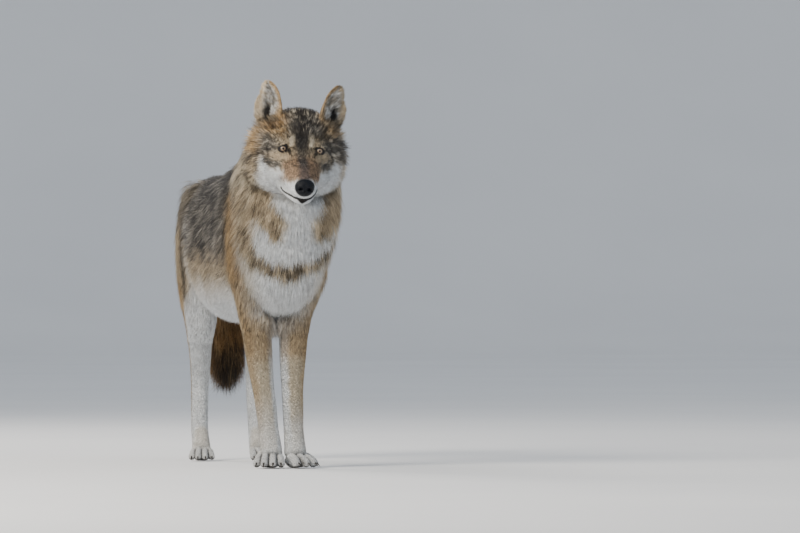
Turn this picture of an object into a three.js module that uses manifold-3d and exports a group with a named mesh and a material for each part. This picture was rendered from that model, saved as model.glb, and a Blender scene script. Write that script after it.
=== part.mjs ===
// A grey wolf in its winter coat, standing with its head up and turned a little to its right.
// Every solid reaches out to the tips of the coat. Millimetres, +Z up: the wolf faces -Y, its left
// side is +X, and its soles stand on z = 0. The whole is centred on the origin in X and Y at the end.
import * as THREE from "three";
import { ParametricGeometry } from "three/addons/geometries/ParametricGeometry.js";
import { mergeVertices } from "three/addons/utils/BufferGeometryUtils.js";
import Module from "manifold-3d";

const wasm = await Module();
wasm.setup();

// ---- Driving dimensions ------------------------------------------------------------------------
const GAP = 0.4; // clear space between neighbouring solids
const ROUND_END = [0, 0.14, 0.5]; // rings of a domed end, as shares of the dome
const SMALL_END = [0, 0.35]; // the same for a toe
const FLAT_END = [0]; // a small piece that ends flat
const FAR = 3000; // side of the blocks that cut, larger than the animal

// The trunk: place along the body, top of the back, underline, half-width.
const TRUNK = [
  [-410, 560, 430, 58],
  [-376, 620, 382, 94],
  [-320, 694, 354, 120],
  [-240, 756, 358, 134],
  [-130, 762, 350, 137],
  [0, 738, 340, 137],
  [120, 729, 334, 137],
  [210, 732, 366, 138],
  [300, 730, 416, 132],
  [370, 712, 456, 108],
  [432, 658, 526, 62],
];
const TRUNK_WAIST = 0.5; // height of the widest line, as a share from underline to back

// Paths run tailwards or downwards, so the third radius points to the throat, belly or front, and
// the fourth to the nape, back or rear: x, y, z, half-width, front radius, rear radius.
const NECK = [
  [16, -350, 826, 86, 42, 54],
  [18, -340, 772, 116, 64, 134],
  [18, -330, 704, 138, 94, 200],
  [15, -324, 632, 141, 114, 190],
  [8, -314, 560, 133, 124, 150],
  [3, -300, 490, 116, 119, 104],
  [0, -292, 424, 84, 86, 80],
];
const TAIL = [
  [0, 362, 676, 34, 34, 32],
  [2, 406, 650, 41, 42, 38],
  [6, 434, 590, 46, 46, 44],
  [12, 444, 505, 48, 49, 47],
  [17, 444, 415, 49, 50, 49],
  [22, 440, 330, 50, 51, 50],
  [25, 438, 255, 48, 48, 47],
  [27, 437, 205, 36, 36, 34],
  [28, 437, 172, 15, 15, 14],
];

// Legs: height, share of the way from the top's place to the foot's, offset along the body,
// half-width, front radius, rear radius.
const FORELEG = [
  [706, -0.1, 22, 14, 34, 38],
  [650, -0.1, 8, 40, 72, 80],
  [570, -0.08, -24, 60, 86, 94],
  [500, 0, -30, 64, 90, 92],
  [440, 0.14, -14, 54, 82, 78],
  [385, 0.34, 2, 44, 62, 54],
  [330, 0.48, 2, 38, 44, 42],
  [260, 0.62, 0, 33.5, 34, 34],
  [190, 0.78, 0, 27.5, 28, 28],
  [140, 0.88, -1, 26, 27, 27],
  [95, 0.95, 0, 25, 24, 25],
  [58, 1, -6, 27, 26, 24],
  [26, 1, -16, 30, 30, 22],
];
const HINDLEG = [
  [700, 0, 14, 16, 44, 42],
  [656, 0, 6, 42, 88, 84],
  [600, 0, 0, 56, 104, 102],
  [520, 0, -10, 61, 112, 114],
  [440, 0.05, -24, 59, 100, 108],
  [365, 0.15, -26, 50, 74, 86],
  [305, 0.3, 4, 38, 50, 56],
  [245, 0.52, 34, 28, 34, 33],
  [186, 0.8, 48, 23.5, 26, 28],
  [130, 0.92, 38, 22.5, 23, 23],
  [80, 1, 25, 22.5, 23, 22],
  [46, 1, 11, 24, 25, 22],
  [22, 1, 0, 26, 28, 20],
];
const LEG_CUTS = { fore: [392, 76], hind: [318, 64] }; // heights of the upper and lower parting
const LEG_TOPS = { fore: [64, -262], hind: [79, 296] }; // shoulder and hip: distance out, place along
// Each foot: x, y, the angle that its toes turn to the wolf's left, and how far the leg bows that way,
// most of all a little below its middle.
const FEET = {
  forepaw_left: [41, -292, 30, -10],
  forepaw_right: [-17, -286, -16, -6],
  hindpaw_left: [80, 300, 6, 0],
  hindpaw_right: [-58, 334, -12, 10],
};
const PAW = { fore: 0.93, hind: 0.8 }; // size of a paw against a forepaw
// Toes of a forepaw: sideways place, reach ahead of the leg.
const TOES = [
  [-28, 44],
  [-10.5, 60],
  [10.5, 60],
  [28, 44],
];
const TOE_RADIUS = 12.5;
const CLAW_LENGTH = 15;
const CLAW_RADIUS = 3.6;

// The head is drawn level in its own frame, midway between the eyes, and then put in place.
const EYE_MIDDLE = [15, -492, 763];
const HEAD_TILT = { pitch: 20, yaw: -6.8, roll: 4.2 }; // degrees: down, to its right, left side down
// Skull and upper jaw, from the nose back: y, z, half-width, radius below, radius above.
const SKULL = [
  [-140, -55, 23, 20, 24],
  [-120, -56, 31, 26, 32],
  [-92, -55, 38, 31, 37],
  [-62, -52, 44, 36, 40],
  [-34, -48, 50, 42, 43],
  [-10, -46, 60, 48, 58],
  [16, -50, 78, 60, 98],
  [48, -60, 101, 72, 136],
  [84, -68, 120, 86, 146],
  [122, -70, 116, 86, 136],
  [158, -70, 76, 60, 92],
];
const JAW = [
  [-124, -82, 17, 14, 12],
  [-106, -84, 26, 17, 14],
  [-70, -86, 37, 21, 18],
  [-30, -87, 47, 26, 22],
  [8, -88, 55, 33, 30],
  [40, -88, 58, 36, 34],
];
// Ear of one side. A negative front radius makes the hollow.
const EAR = [
  [87, 94, 137, 8, 2, 4],
  [86, 93, 130, 15, -1, 8],
  [84, 90, 119, 22, -5, 13],
  [81, 87, 104, 28, -10, 19],
  [81, 84, 86, 34.5, -12, 25],
  [82, 83, 64, 39, -6, 30],
  [81, 84, 40, 37, 12, 30],
  [72, 84, 16, 29, 20, 22],
];
const EAR_FACING = 24; // degrees that the ear's opening turns outwards
const EYE = { out: 43.5, back: 10, up: -3.5, radius: 12.5 };
const EYELIDS = { ahead: 21, radii: [12, 21, 8] }; // the opening in front of each eye
const NOSE = { at: [0, -137, -49], radii: [22, 13, 19.5] };
const NOSTRIL = { at: [9.6, -149, -51], radii: [4, 7, 4.6], slant: 28 };

// ---- Shape makers ------------------------------------------------------------------------------
const degrees = THREE.MathUtils.degToRad;

/** A three.js geometry as a solid that can be joined and cut. */
function solid(geometry) {
  const bare = geometry.clone();
  bare.deleteAttribute("normal");
  bare.deleteAttribute("uv");
  const welded = mergeVertices(bare, 1e-3);
  const corners = Array.from(welded.index.array);
  const triVerts = [];
  for (let i = 0; i < corners.length; i += 3) {
    const [a, b, c] = corners.slice(i, i + 3);
    if (a !== b && b !== c && c !== a) triVerts.push(a, b, c);
  }
  const vertProperties = welded.attributes.position.array;
  return new wasm.Manifold(new wasm.Mesh({ numProp: 3, vertProperties, triVerts: new Uint32Array(triVerts) }));
}

/** The largest single body of a solid, so that no crumb is left where two surfaces cross. */
function largest(shape) {
  return shape.decompose().reduce((a, b) => (b.volume() > a.volume() ? b : a));
}

/** The rings along a path, each as its place and its size: domed over the share dome at both ends. */
function ringsAlong(count, dome, ends) {
  const cap = ends.map((share) => [share * dome, Math.sqrt(1 - (1 - share) ** 2)]);
  const middle = Array.from({ length: count + 1 }, (_, i) => [dome + ((1 - 2 * dome) * i) / count, 1]);
  return [...cap, ...middle, ...cap.map(([place, size]) => [1 - place, size]).reverse()];
}

/**
 * A closed body whose section is carried along a smooth path through the stations.
 * A station is x, y, z, half-width along side, radius to the front, radius to the rear. Both ends are
 * rounded over the share dome of the path. fullness above 1 squares the section, and grow widens it.
 */
function loft(stations, options = {}) {
  const { around = 12, rings = 12, dome = 0.08, side = [1, 0, 0], fullness = 1.08, grow = 0 } = options;
  const path = new THREE.CatmullRomCurve3(stations.map(([x, y, z]) => new THREE.Vector3(x, y, z)));
  const radii = new THREE.CatmullRomCurve3(stations.map(([, , , w, f, r]) => new THREE.Vector3(w, f, r)));
  const places = ringsAlong(rings, dome, options.ends ?? ROUND_END);
  const across = new THREE.Vector3(...side).normalize();
  const round = (wave) => Math.sign(wave) * Math.abs(wave) ** (1 / fullness);
  const place = (u, v, target) => {
    const [t, size] = places[Math.round(v * (places.length - 1))];
    const forward = path.getTangent(t);
    const front = new THREE.Vector3().crossVectors(forward, across).normalize();
    const out = new THREE.Vector3().crossVectors(front, forward);
    const r = radii.getPoint(t).addScalar(grow);
    const turn = 2 * Math.PI * (u % 1);
    const reach = Math.sin(turn) > 0 ? r.y : r.z;
    target.copy(path.getPoint(t));
    target.addScaledVector(out, size * r.x * round(Math.cos(turn)));
    target.addScaledVector(front, size * reach * round(Math.sin(turn)));
  };
  return new ParametricGeometry(place, around, places.length - 1);
}

/** An ellipsoid with its middle at a point. */
function ellipsoid([x, y, z], radii, around = 14, grow = 0) {
  const ball = new THREE.SphereGeometry(1, around, Math.ceil(around * 0.6));
  return ball.scale(...radii.map((r) => r + grow)).translate(x, y, z);
}

/** The block of space above a height, or below it. */
function blockAbove(height) {
  return solid(new THREE.BoxGeometry(FAR, FAR, FAR).translate(0, 0, height + FAR / 2));
}
function blockBelow(height) {
  return solid(new THREE.BoxGeometry(FAR, FAR, FAR).translate(0, 0, height - FAR / 2));
}

/** The same stations on the other side of the body. */
const mirrored = (stations) => stations.map(([x, ...rest]) => [-x, ...rest]);

/** Head stations, given as y, z, half-width, radius below and above, in the form that loft takes. */
const midline = (stations) => stations.map(([y, z, w, below, above]) => [0, y, z, w, below, above]);

const HEAD_PLACE = new THREE.Matrix4()
  .makeRotationZ(degrees(HEAD_TILT.yaw))
  .multiply(new THREE.Matrix4().makeRotationX(degrees(HEAD_TILT.pitch)))
  .multiply(new THREE.Matrix4().makeRotationY(degrees(HEAD_TILT.roll)))
  .setPosition(...EYE_MIDDLE);

/** A geometry drawn in the head's frame, moved to its place on the body. */
const onHead = (geometry) => solid(geometry.applyMatrix4(HEAD_PLACE));

// ---- Trunk, neck and tail ----------------------------------------------------------------------
function trunkBody(grow = 0) {
  const stations = TRUNK.map(([y, top, bottom, width]) => {
    const waist = THREE.MathUtils.lerp(bottom, top, TRUNK_WAIST);
    return [0, y, waist, width, waist - bottom, top - waist];
  });
  return solid(loft(stations, { around: 18, rings: 14, dome: 0.06, fullness: 1.2, grow }));
}

const neckBody = (grow = 0) => solid(loft(NECK, { around: 16, rings: 6, dome: 0.08, grow }));
const tailBody = (grow = 0) => solid(loft(TAIL, { around: 12, rings: 9, dome: 0.05, fullness: 1, grow }));

// ---- Head --------------------------------------------------------------------------------------
const skullBody = (grow = 0) =>
  onHead(loft(midline(SKULL), { around: 18, rings: 13, dome: 0.05, fullness: 1.08, grow }));

const jawBody = () => onHead(loft(midline(JAW), { around: 12, rings: 5, dome: 0.08, fullness: 1.15 }));

function earBody(sideSign) {
  const facing = degrees(EAR_FACING) * sideSign;
  const stations = sideSign > 0 ? EAR : mirrored(EAR);
  return onHead(
    loft(stations, { around: 12, rings: 7, dome: 0.06, side: [Math.cos(facing), Math.sin(facing), 0], fullness: 1.2 }),
  );
}

const eyeBall = (sideSign, grow = 0) =>
  onHead(ellipsoid([sideSign * EYE.out, EYE.back, EYE.up], Array(3).fill(EYE.radius), 10, grow));

const eyeOpening = (sideSign) =>
  onHead(ellipsoid([sideSign * EYE.out, EYE.back - EYELIDS.ahead, EYE.up], EYELIDS.radii, 9));

function noseBody(grow = 0) {
  return onHead(ellipsoid(NOSE.at, NOSE.radii, 12, grow));
}

/** The two nostrils, as solids that are cut out of the nose. */
function nostrils() {
  const one = (sideSign) => {
    const hole = ellipsoid([0, 0, 0], NOSTRIL.radii, 8).rotateY(degrees(-sideSign * NOSTRIL.slant));
    const [x, y, z] = NOSTRIL.at;
    return onHead(hole.translate(sideSign * x, y, z));
  };
  return one(1).add(one(-1));
}

// ---- Legs and feet -----------------------------------------------------------------------------
/** A whole leg, from inside the shoulder or hip down into the foot. */
function legBody(kind, sideSign, foot, grow = 0) {
  const [out, along] = LEG_TOPS[kind];
  const [footX, footY, , bow] = FEET[foot];
  const table = kind === "fore" ? FORELEG : HINDLEG;
  const stations = table.map(([z, share, offset, w, front, rear]) => {
    const x = THREE.MathUtils.lerp(sideSign * out, footX, share) + bow * Math.sin(Math.PI * Math.max(share, 0) ** 1.4);
    const y = THREE.MathUtils.lerp(along, footY, share) + offset;
    return [x, y, z, w, front, rear];
  });
  return solid(loft(stations, { around: 10, rings: 14, dome: 0.03, fullness: 1.05, grow }));
}

/** The toes, claws and sole pad of a foot, standing on z = 0. */
function footBody(kind, foot) {
  const size = PAW[kind];
  const place = new THREE.Matrix4()
    .makeRotationZ(degrees(FEET[foot][2]))
    .scale(new THREE.Vector3(size, size, size))
    .setPosition(FEET[foot][0], FEET[foot][1], 0);
  const set = (geometry) => solid(geometry.applyMatrix4(place));
  const toe = ([x, reach]) => {
    const splay = x * 0.12;
    const stations = [
      [x * 0.6, 4, 36, 10, 10, 10],
      [x * 0.85, -reach * 0.35, 31, TOE_RADIUS, TOE_RADIUS, TOE_RADIUS],
      [x, -reach * 0.75, 22, TOE_RADIUS, TOE_RADIUS * 1.1, TOE_RADIUS],
      [x + splay, -reach, 13, TOE_RADIUS * 0.95, TOE_RADIUS, TOE_RADIUS],
      [x + splay, -reach - 7, 6, TOE_RADIUS * 0.8, 9, 9],
    ];
    return set(loft(stations, { around: 6, rings: 2, dome: 0.14, fullness: 1.1, ends: SMALL_END }));
  };
  const claw = ([x, reach]) => {
    const tip = -reach - TOE_RADIUS * 0.6;
    const splay = x * 0.14;
    const stations = [
      [x + splay, tip + 4, 16, CLAW_RADIUS, CLAW_RADIUS, CLAW_RADIUS],
      [x + splay, tip - CLAW_LENGTH * 0.45, 13, CLAW_RADIUS * 0.8, CLAW_RADIUS * 0.8, CLAW_RADIUS * 0.9],
      [x + splay, tip - CLAW_LENGTH, 4, 1, 1, 1],
    ];
    return set(loft(stations, { around: 4, rings: 1, dome: 0, fullness: 1, ends: FLAT_END }));
  };
  const pad = set(ellipsoid([0, -8, 20], [30, 34, 25], 9));
  const pieces = [...TOES.map(toe), ...TOES.map(claw)];
  return pieces.reduce((whole, piece) => whole.add(piece), pad);
}

// ---- The named parts ---------------------------------------------------------------------------
const COATS = {
  saddle: new THREE.MeshStandardMaterial({ color: 0x77736b, roughness: 0.95 }),
  mane: new THREE.MeshStandardMaterial({ color: 0xb5a384, roughness: 0.95 }),
  face: new THREE.MeshStandardMaterial({ color: 0x8d7b63, roughness: 0.95 }),
  pale: new THREE.MeshStandardMaterial({ color: 0xd8d0c2, roughness: 0.95 }),
  leg: new THREE.MeshStandardMaterial({ color: 0xc2ad8c, roughness: 0.95 }),
  tail: new THREE.MeshStandardMaterial({ color: 0x4d3a28, roughness: 0.95 }),
  ear: new THREE.MeshStandardMaterial({ color: 0xa98a62, roughness: 0.95 }),
  eye: new THREE.MeshStandardMaterial({ color: 0xa87d3c, roughness: 0.1 }),
  nose: new THREE.MeshStandardMaterial({ color: 0x1b1a1b, roughness: 0.4 }),
};

const wolf = new THREE.Group();

/** Adds a solid to the wolf as one named mesh. */
function addPart(name, shape, material) {
  const { numProp, vertProperties, triVerts } = largest(shape).getMesh();
  const geometry = new THREE.BufferGeometry();
  const position = Float32Array.from({ length: (vertProperties.length / numProp) * 3 }, (_, i) => {
    return vertProperties[Math.floor(i / 3) * numProp + (i % 3)];
  });
  geometry.setAttribute("position", new THREE.BufferAttribute(position, 3));
  geometry.setIndex(new THREE.BufferAttribute(triVerts, 1));
  geometry.computeVertexNormals();
  const mesh = new THREE.Mesh(geometry, material);
  mesh.name = name;
  wolf.add(mesh);
}

/** The space that a body takes up together with the gap around it. */
const roomOf = (body) => body(GAP).add(body());

const trunkRoom = roomOf(trunkBody);
const neckRoom = roomOf(neckBody);
const skullRoom = roomOf(skullBody);
const SIDES = [
  ["left", 1],
  ["right", -1],
];

function addHead() {
  const eyes = eyeBall(1, GAP).add(eyeBall(-1, GAP)).add(eyeOpening(1)).add(eyeOpening(-1));
  const skull = skullBody().subtract(eyes).subtract(noseBody(GAP)).subtract(trunkRoom);
  addPart("head", skull, COATS.face);
  addPart("jaw", jawBody().subtract(skullRoom).subtract(neckRoom), COATS.pale);
  addPart("nose", noseBody().subtract(nostrils()), COATS.nose);
  for (const [side, sign] of SIDES) {
    addPart(`eye_${side}`, eyeBall(sign), COATS.eye);
    addPart(`ear_${side}`, earBody(sign).subtract(skullRoom), COATS.ear);
  }
}

function addForeleg(side, sign) {
  const foot = `forepaw_${side}`;
  const [elbow, wrist] = LEG_CUTS.fore;
  const leg = legBody("fore", sign, foot);
  const shoulder = leg.intersect(blockAbove(elbow + GAP)).subtract(trunkRoom).subtract(neckRoom);
  addPart(`shoulder_${side}`, shoulder, COATS.mane);
  const lower = leg.intersect(blockBelow(elbow)).intersect(blockAbove(wrist + GAP));
  addPart(`foreleg_${side}`, lower.subtract(trunkRoom), COATS.leg);
  const paw = leg.add(footBody("fore", foot)).intersect(blockBelow(wrist)).intersect(blockAbove(0));
  addPart(foot, paw, COATS.leg);
}

function addHindleg(side, sign) {
  const foot = `hindpaw_${side}`;
  const [stifle, pastern] = LEG_CUTS.hind;
  const leg = legBody("hind", sign, foot);
  addPart(`thigh_${side}`, leg.intersect(blockAbove(stifle + GAP)).subtract(trunkRoom), COATS.mane);
  const lower = leg.intersect(blockBelow(stifle)).intersect(blockAbove(pastern + GAP));
  addPart(`hindleg_${side}`, lower, COATS.leg);
  const paw = leg.add(footBody("hind", foot)).intersect(blockBelow(pastern)).intersect(blockAbove(0));
  addPart(foot, paw, COATS.leg);
}

function addTail() {
  const thighs = SIDES.map(([side, sign]) => legBody("hind", sign, `hindpaw_${side}`, GAP));
  addPart("tail", tailBody().subtract(trunkRoom).subtract(thighs[0]).subtract(thighs[1]), COATS.tail);
}

addPart("trunk", trunkBody(), COATS.saddle);
addPart("neck", neckBody().subtract(trunkRoom).subtract(skullRoom), COATS.mane);
addHead();
for (const [side, sign] of SIDES) {
  addForeleg(side, sign);
  addHindleg(side, sign);
}
addTail();

// The origin lies under the middle of the whole animal.
const extent = new THREE.Box3().setFromObject(wolf);
const middle = extent.getCenter(new THREE.Vector3());
wolf.position.set(-middle.x, -middle.y, 0);

export default wolf;
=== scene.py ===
"""A life-size grey wolf in its winter coat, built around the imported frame.

One skin covers the whole animal. Eyes, lids, nose, lips and claws are pieces of their own, and the coat
is many thin closed tufts that follow the lie of the fur. The wolf faces -Y, its left side is +X, and it
stands on z = 0. Tables are in millimetres, and everything that is built is in metres.
"""

import logging
import math
from dataclasses import dataclass
from enum import Enum

import bpy
import numpy as np
from numpy.typing import NDArray
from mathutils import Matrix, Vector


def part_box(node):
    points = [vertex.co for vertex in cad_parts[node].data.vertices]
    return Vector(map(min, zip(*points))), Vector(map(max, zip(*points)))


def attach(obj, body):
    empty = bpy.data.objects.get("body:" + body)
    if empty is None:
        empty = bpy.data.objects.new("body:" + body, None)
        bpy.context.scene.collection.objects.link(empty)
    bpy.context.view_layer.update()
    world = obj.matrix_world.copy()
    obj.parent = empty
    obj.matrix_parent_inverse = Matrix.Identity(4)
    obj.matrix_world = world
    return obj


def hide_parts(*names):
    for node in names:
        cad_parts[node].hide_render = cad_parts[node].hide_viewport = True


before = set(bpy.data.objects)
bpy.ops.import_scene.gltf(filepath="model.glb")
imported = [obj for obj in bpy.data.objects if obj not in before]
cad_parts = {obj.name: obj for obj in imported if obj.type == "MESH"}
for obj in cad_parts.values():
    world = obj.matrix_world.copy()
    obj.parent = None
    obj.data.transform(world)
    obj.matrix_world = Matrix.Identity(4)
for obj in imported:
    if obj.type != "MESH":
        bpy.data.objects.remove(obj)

Array = NDArray[np.float64]
Faces = NDArray[np.int64]
Rows = tuple[tuple[float, ...], ...]
Triple = tuple[float, float, float]
Shape = tuple[Array, Faces, Faces]  # points, the corners of all faces in a row, how many each face has
Tufts = tuple[Array, Faces, Array, Array]  # points, triangles, colours, places in the patch
Stops = tuple[tuple[float, tuple[float, ...]], ...]  # places on a colour ramp and their colours

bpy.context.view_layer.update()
MM = 0.001
log = logging.getLogger("wolf")


# ---- Small helpers -----------------------------------------------------------------------------
def smoothstep(low: float | Array, high: float | Array, value: Array) -> Array:
    """Rises from 0 at low to 1 at high as 3s^2 - 2s^3, where s is the share of the way between them."""
    share = np.clip((value - low) / (high - low), 0.0, 1.0)
    return share * share * (3.0 - 2.0 * share)


def fall(low: float | Array, high: float | Array, value: Array) -> Array:
    """Falls from 1 at low to 0 at high, as smoothstep rises."""
    return 1.0 - smoothstep(low, high, value)


def between(low: float, high: float, soft: float, value: Array) -> Array:
    """1 between low and high, fading to 0 over the width soft outside them."""
    return smoothstep(low - soft, low, value) * fall(high, high + soft, value)


def spot(x: Array, y: Array, middle: tuple[float, float], radii: tuple[float, float], soft: float) -> Array:
    """A soft-edged ellipse: 1 inside, 0 outside, over the share soft of its radius."""
    away = np.hypot((x - middle[0]) / radii[0], (y - middle[1]) / radii[1])
    return fall(1.0 - soft, 1.0 + soft, away)


def stroke(x: Array, y: Array, start: tuple[float, float], end: tuple[float, float], width: float) -> Array:
    """A soft line: 1 on the stretch from start to end, 0 beyond width from it."""
    along = np.array([end[0] - start[0], end[1] - start[1]])
    share = np.clip(((x - start[0]) * along[0] + (y - start[1]) * along[1]) / (along @ along), 0.0, 1.0)
    away = np.hypot(x - start[0] - share * along[0], y - start[1] - share * along[1])
    return fall(0.45 * width, width, away)


def unit(vectors: Array) -> Array:
    """Each row divided by its length."""
    return vectors / np.maximum(np.linalg.norm(vectors, axis=-1, keepdims=True), 1e-9)


def linear(*colour: float) -> Array:
    """A display colour given in 0 to 255, as linear light: ((c + 0.055) / 1.055) ^ 2.4."""
    c = np.array(colour) / 255.0
    return np.where(c <= 0.04045, c / 12.92, ((c + 0.055) / 1.055) ** 2.4)


def scatter(cells: Array, salt: int) -> Array:
    """A fixed number from 0 to 1 for each row of whole numbers, from multiplying and mixing their bits."""
    h = np.full(len(cells), salt * 2654435761 + 97, dtype=np.uint64)
    for axis, prime in enumerate((73856093, 19349663, 83492791)):
        h ^= cells[:, axis].astype(np.int64).astype(np.uint64) * np.uint64(prime)
        h = (h ^ (h >> np.uint64(13))) * np.uint64(1274126177)
    return ((h >> np.uint64(9)) & np.uint64(0xFFFFFF)).astype(float) / float(0xFFFFFF)


def noise(points: Array, size: float, salt: int = 0) -> Array:
    """Smooth noise from 0 to 1: fixed numbers at the corners of cells of that size, blended between them."""
    scaled = points / size
    corner = np.floor(scaled)
    share = scaled - corner
    share = share * share * (3.0 - 2.0 * share)
    total = np.zeros(len(points))
    for bits in range(8):
        step = np.array([bits & 1, (bits >> 1) & 1, (bits >> 2) & 1])
        weight = np.prod(np.where(step, share, 1.0 - share), axis=1)
        total += weight * scatter(corner + step, salt)
    return total


def flecks(points: Array, size: float, salt: int, low: float, high: float) -> Array:
    """Soft-edged flecks of that size: 0 where the noise is under low and 1 where it is over high."""
    return smoothstep(low, high, noise(points, size, salt))


def wobble(points: Array, size: float, salt: int, reach: float) -> Array:
    """Noise that swings by half of reach to either side of 0."""
    return reach * (noise(points, size, salt) - 0.5)


def ring_angles(count: int) -> Array:
    """Angles in even steps once round a ring."""
    return np.linspace(0.0, 2 * math.pi, count, endpoint=False)


def polar_angles(rows: int, around: int, margin: float) -> tuple[Array, Array]:
    """The angles of a ball's grid: a column from pole to pole, less margin at each, and a row round it."""
    return np.linspace(margin, math.pi - margin, rows)[:, None], ring_angles(around)[None, :]


def turn(axis: str, degrees: float) -> Array:
    """The 3 by 3 matrix that turns by degrees about an axis, by the right-hand rule."""
    c, s = math.cos(math.radians(degrees)), math.sin(math.radians(degrees))
    rows = {
        "x": [[1, 0, 0], [0, c, -s], [0, s, c]],
        "y": [[c, 0, s], [0, 1, 0], [-s, 0, c]],
        "z": [[c, -s, 0], [s, c, 0], [0, 0, 1]],
    }
    return np.array(rows[axis], dtype=float)


@dataclass(frozen=True)
class Place:
    """Where a group of shapes stands: a scale, a turn, then a move, in millimetres of the body."""

    turning: Array
    origin: Array
    size: float = 1.0  # scale of the shapes

    def points(self, local: Array) -> Array:
        """Local millimetres as metres in the frame."""
        return (local * self.size @ self.turning.T + self.origin + BODY_SHIFT) * MM

    def vectors(self, local: Array) -> Array:
        """Local directions as directions in the frame."""
        return local @ self.turning.T

    def back(self, world: Array) -> Array:
        """Metres in the frame as local millimetres."""
        return ((world / MM - BODY_SHIFT - self.origin) @ self.turning) / self.size


# ---- Measures of the animal, in millimetres ----------------------------------------------------
EYE_MIDDLE = np.array([15.0, -492.0, 763.0])
HEAD_PITCH, HEAD_YAW, HEAD_ROLL = 20.0, -6.8, 4.2  # down, to its right, left side down
EYE_OUT, EYE_BACK, EYE_UP, EYE_RADIUS = 43.5, 10.0, -3.5, 12.5

HEAD = Place(turn("z", HEAD_YAW) @ turn("x", HEAD_PITCH) @ turn("y", HEAD_ROLL), EYE_MIDDLE)
BODY = Place(np.eye(3), np.zeros(3))


def find_body_shift() -> Array:
    """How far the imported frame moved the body's own origin, from where the two eyes lie."""
    corners = [np.array(corner) for side in ("left", "right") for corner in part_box(f"eye_{side}")]
    wanted = np.mean(corners, axis=0) / MM
    return wanted - (HEAD.turning @ np.array([0.0, EYE_BACK, EYE_UP]) + HEAD.origin)


BODY_SHIFT = find_body_shift()

# The trunk: place along the body, top of the back, underline, half-width, depth of the coat.
TRUNK = (
    (-410, 560, 430, 58, 10),
    (-376, 620, 382, 94, 12),
    (-320, 694, 354, 120, 14),
    (-240, 756, 358, 134, 24),
    (-130, 762, 350, 137, 24),
    (0, 738, 340, 137, 24),
    (120, 729, 334, 137, 24),
    (210, 732, 366, 138, 24),
    (300, 730, 416, 132, 24),
    (370, 712, 456, 108, 22),
    (432, 658, 526, 62, 18),
)
# Paths: x, y, z, half-width, front radius, rear radius, depth of the coat.
NECK = (
    (16, -350, 826, 86, 42, 54, 12),
    (18, -340, 772, 116, 64, 134, 20),
    (18, -330, 704, 138, 94, 200, 28),
    (15, -324, 632, 141, 114, 190, 28),
    (8, -314, 560, 133, 124, 150, 26),
    (3, -300, 490, 116, 119, 104, 20),
    (0, -292, 424, 84, 86, 80, 14),
)
TAIL = (
    (0, 362, 676, 34, 34, 32, 14),
    (2, 406, 650, 41, 42, 38, 20),
    (6, 434, 590, 46, 46, 44, 24),
    (12, 444, 505, 48, 49, 47, 22),
    (17, 444, 415, 49, 50, 49, 22),
    (22, 440, 330, 51, 51, 50, 22),
    (25, 438, 262, 48, 47, 47, 22),
    (26, 437, 226, 34, 34, 34, 18),
)
# Legs: height, share of the way from top to foot, offset along, half-width, front, rear, coat.
FORELEG = (
    (706, -0.1, 22, 14, 34, 38, 8),
    (650, -0.1, 8, 40, 72, 80, 16),
    (570, -0.08, -24, 60, 86, 94, 18),
    (500, 0.0, -30, 64, 90, 92, 18),
    (440, 0.14, -14, 54, 82, 78, 13),
    (385, 0.34, 2, 44, 62, 54, 8),
    (330, 0.48, 2, 38, 44, 42, 5),
    (260, 0.62, 0, 33.5, 34, 34, 3.5),
    (190, 0.78, 0, 27.5, 28, 28, 2.5),
    (140, 0.88, -1, 26, 27, 27, 2),
    (95, 0.95, 0, 25, 24, 25, 2),
    (58, 1.0, -6, 27, 26, 24, 2.5),
    (26, 1.0, -16, 30, 30, 22, 3),
)
HINDLEG = (
    (700, 0.0, 14, 16, 44, 42, 10),
    (656, 0.0, 6, 42, 88, 84, 20),
    (600, 0.0, 0, 56, 104, 102, 22),
    (520, 0.0, -10, 61, 112, 114, 22),
    (440, 0.05, -24, 59, 100, 108, 20),
    (365, 0.15, -26, 50, 74, 86, 15),
    (305, 0.3, 4, 38, 50, 56, 10),
    (245, 0.52, 34, 28, 34, 33, 4),
    (186, 0.8, 48, 23.5, 26, 28, 2.5),
    (130, 0.92, 38, 22.5, 23, 23, 2),
    (80, 1.0, 25, 22.5, 23, 22, 2),
    (46, 1.0, 11, 24, 25, 22, 2.5),
    (22, 1.0, 0, 26, 28, 20, 3),
)
LEG_TOPS = {"fore": (64.0, -262.0), "hind": (79.0, 296.0)}  # distance out, place along the body
# Each foot: x, y, degrees that its toes turn to the wolf's left, how far its leg bows that way, scale.
FEET = {
    "forepaw_left": (41.0, -292.0, 30.0, -10.0, 0.93),
    "forepaw_right": (-17.0, -286.0, -16.0, -6.0, 0.93),
    "hindpaw_left": (80.0, 300.0, 6.0, 0.0, 0.8),
    "hindpaw_right": (-58.0, 334.0, -12.0, 10.0, 0.8),
}
TOES = ((-28.0, 44.0), (-10.5, 60.0), (10.5, 60.0), (28.0, 44.0))  # sideways, reach ahead
TOE_RADIUS = 12.5
FURROWS = (-19.5, 0.0, 19.5)  # sideways places of the clefts between the toes
CLAW_LENGTH = 15.0
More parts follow.
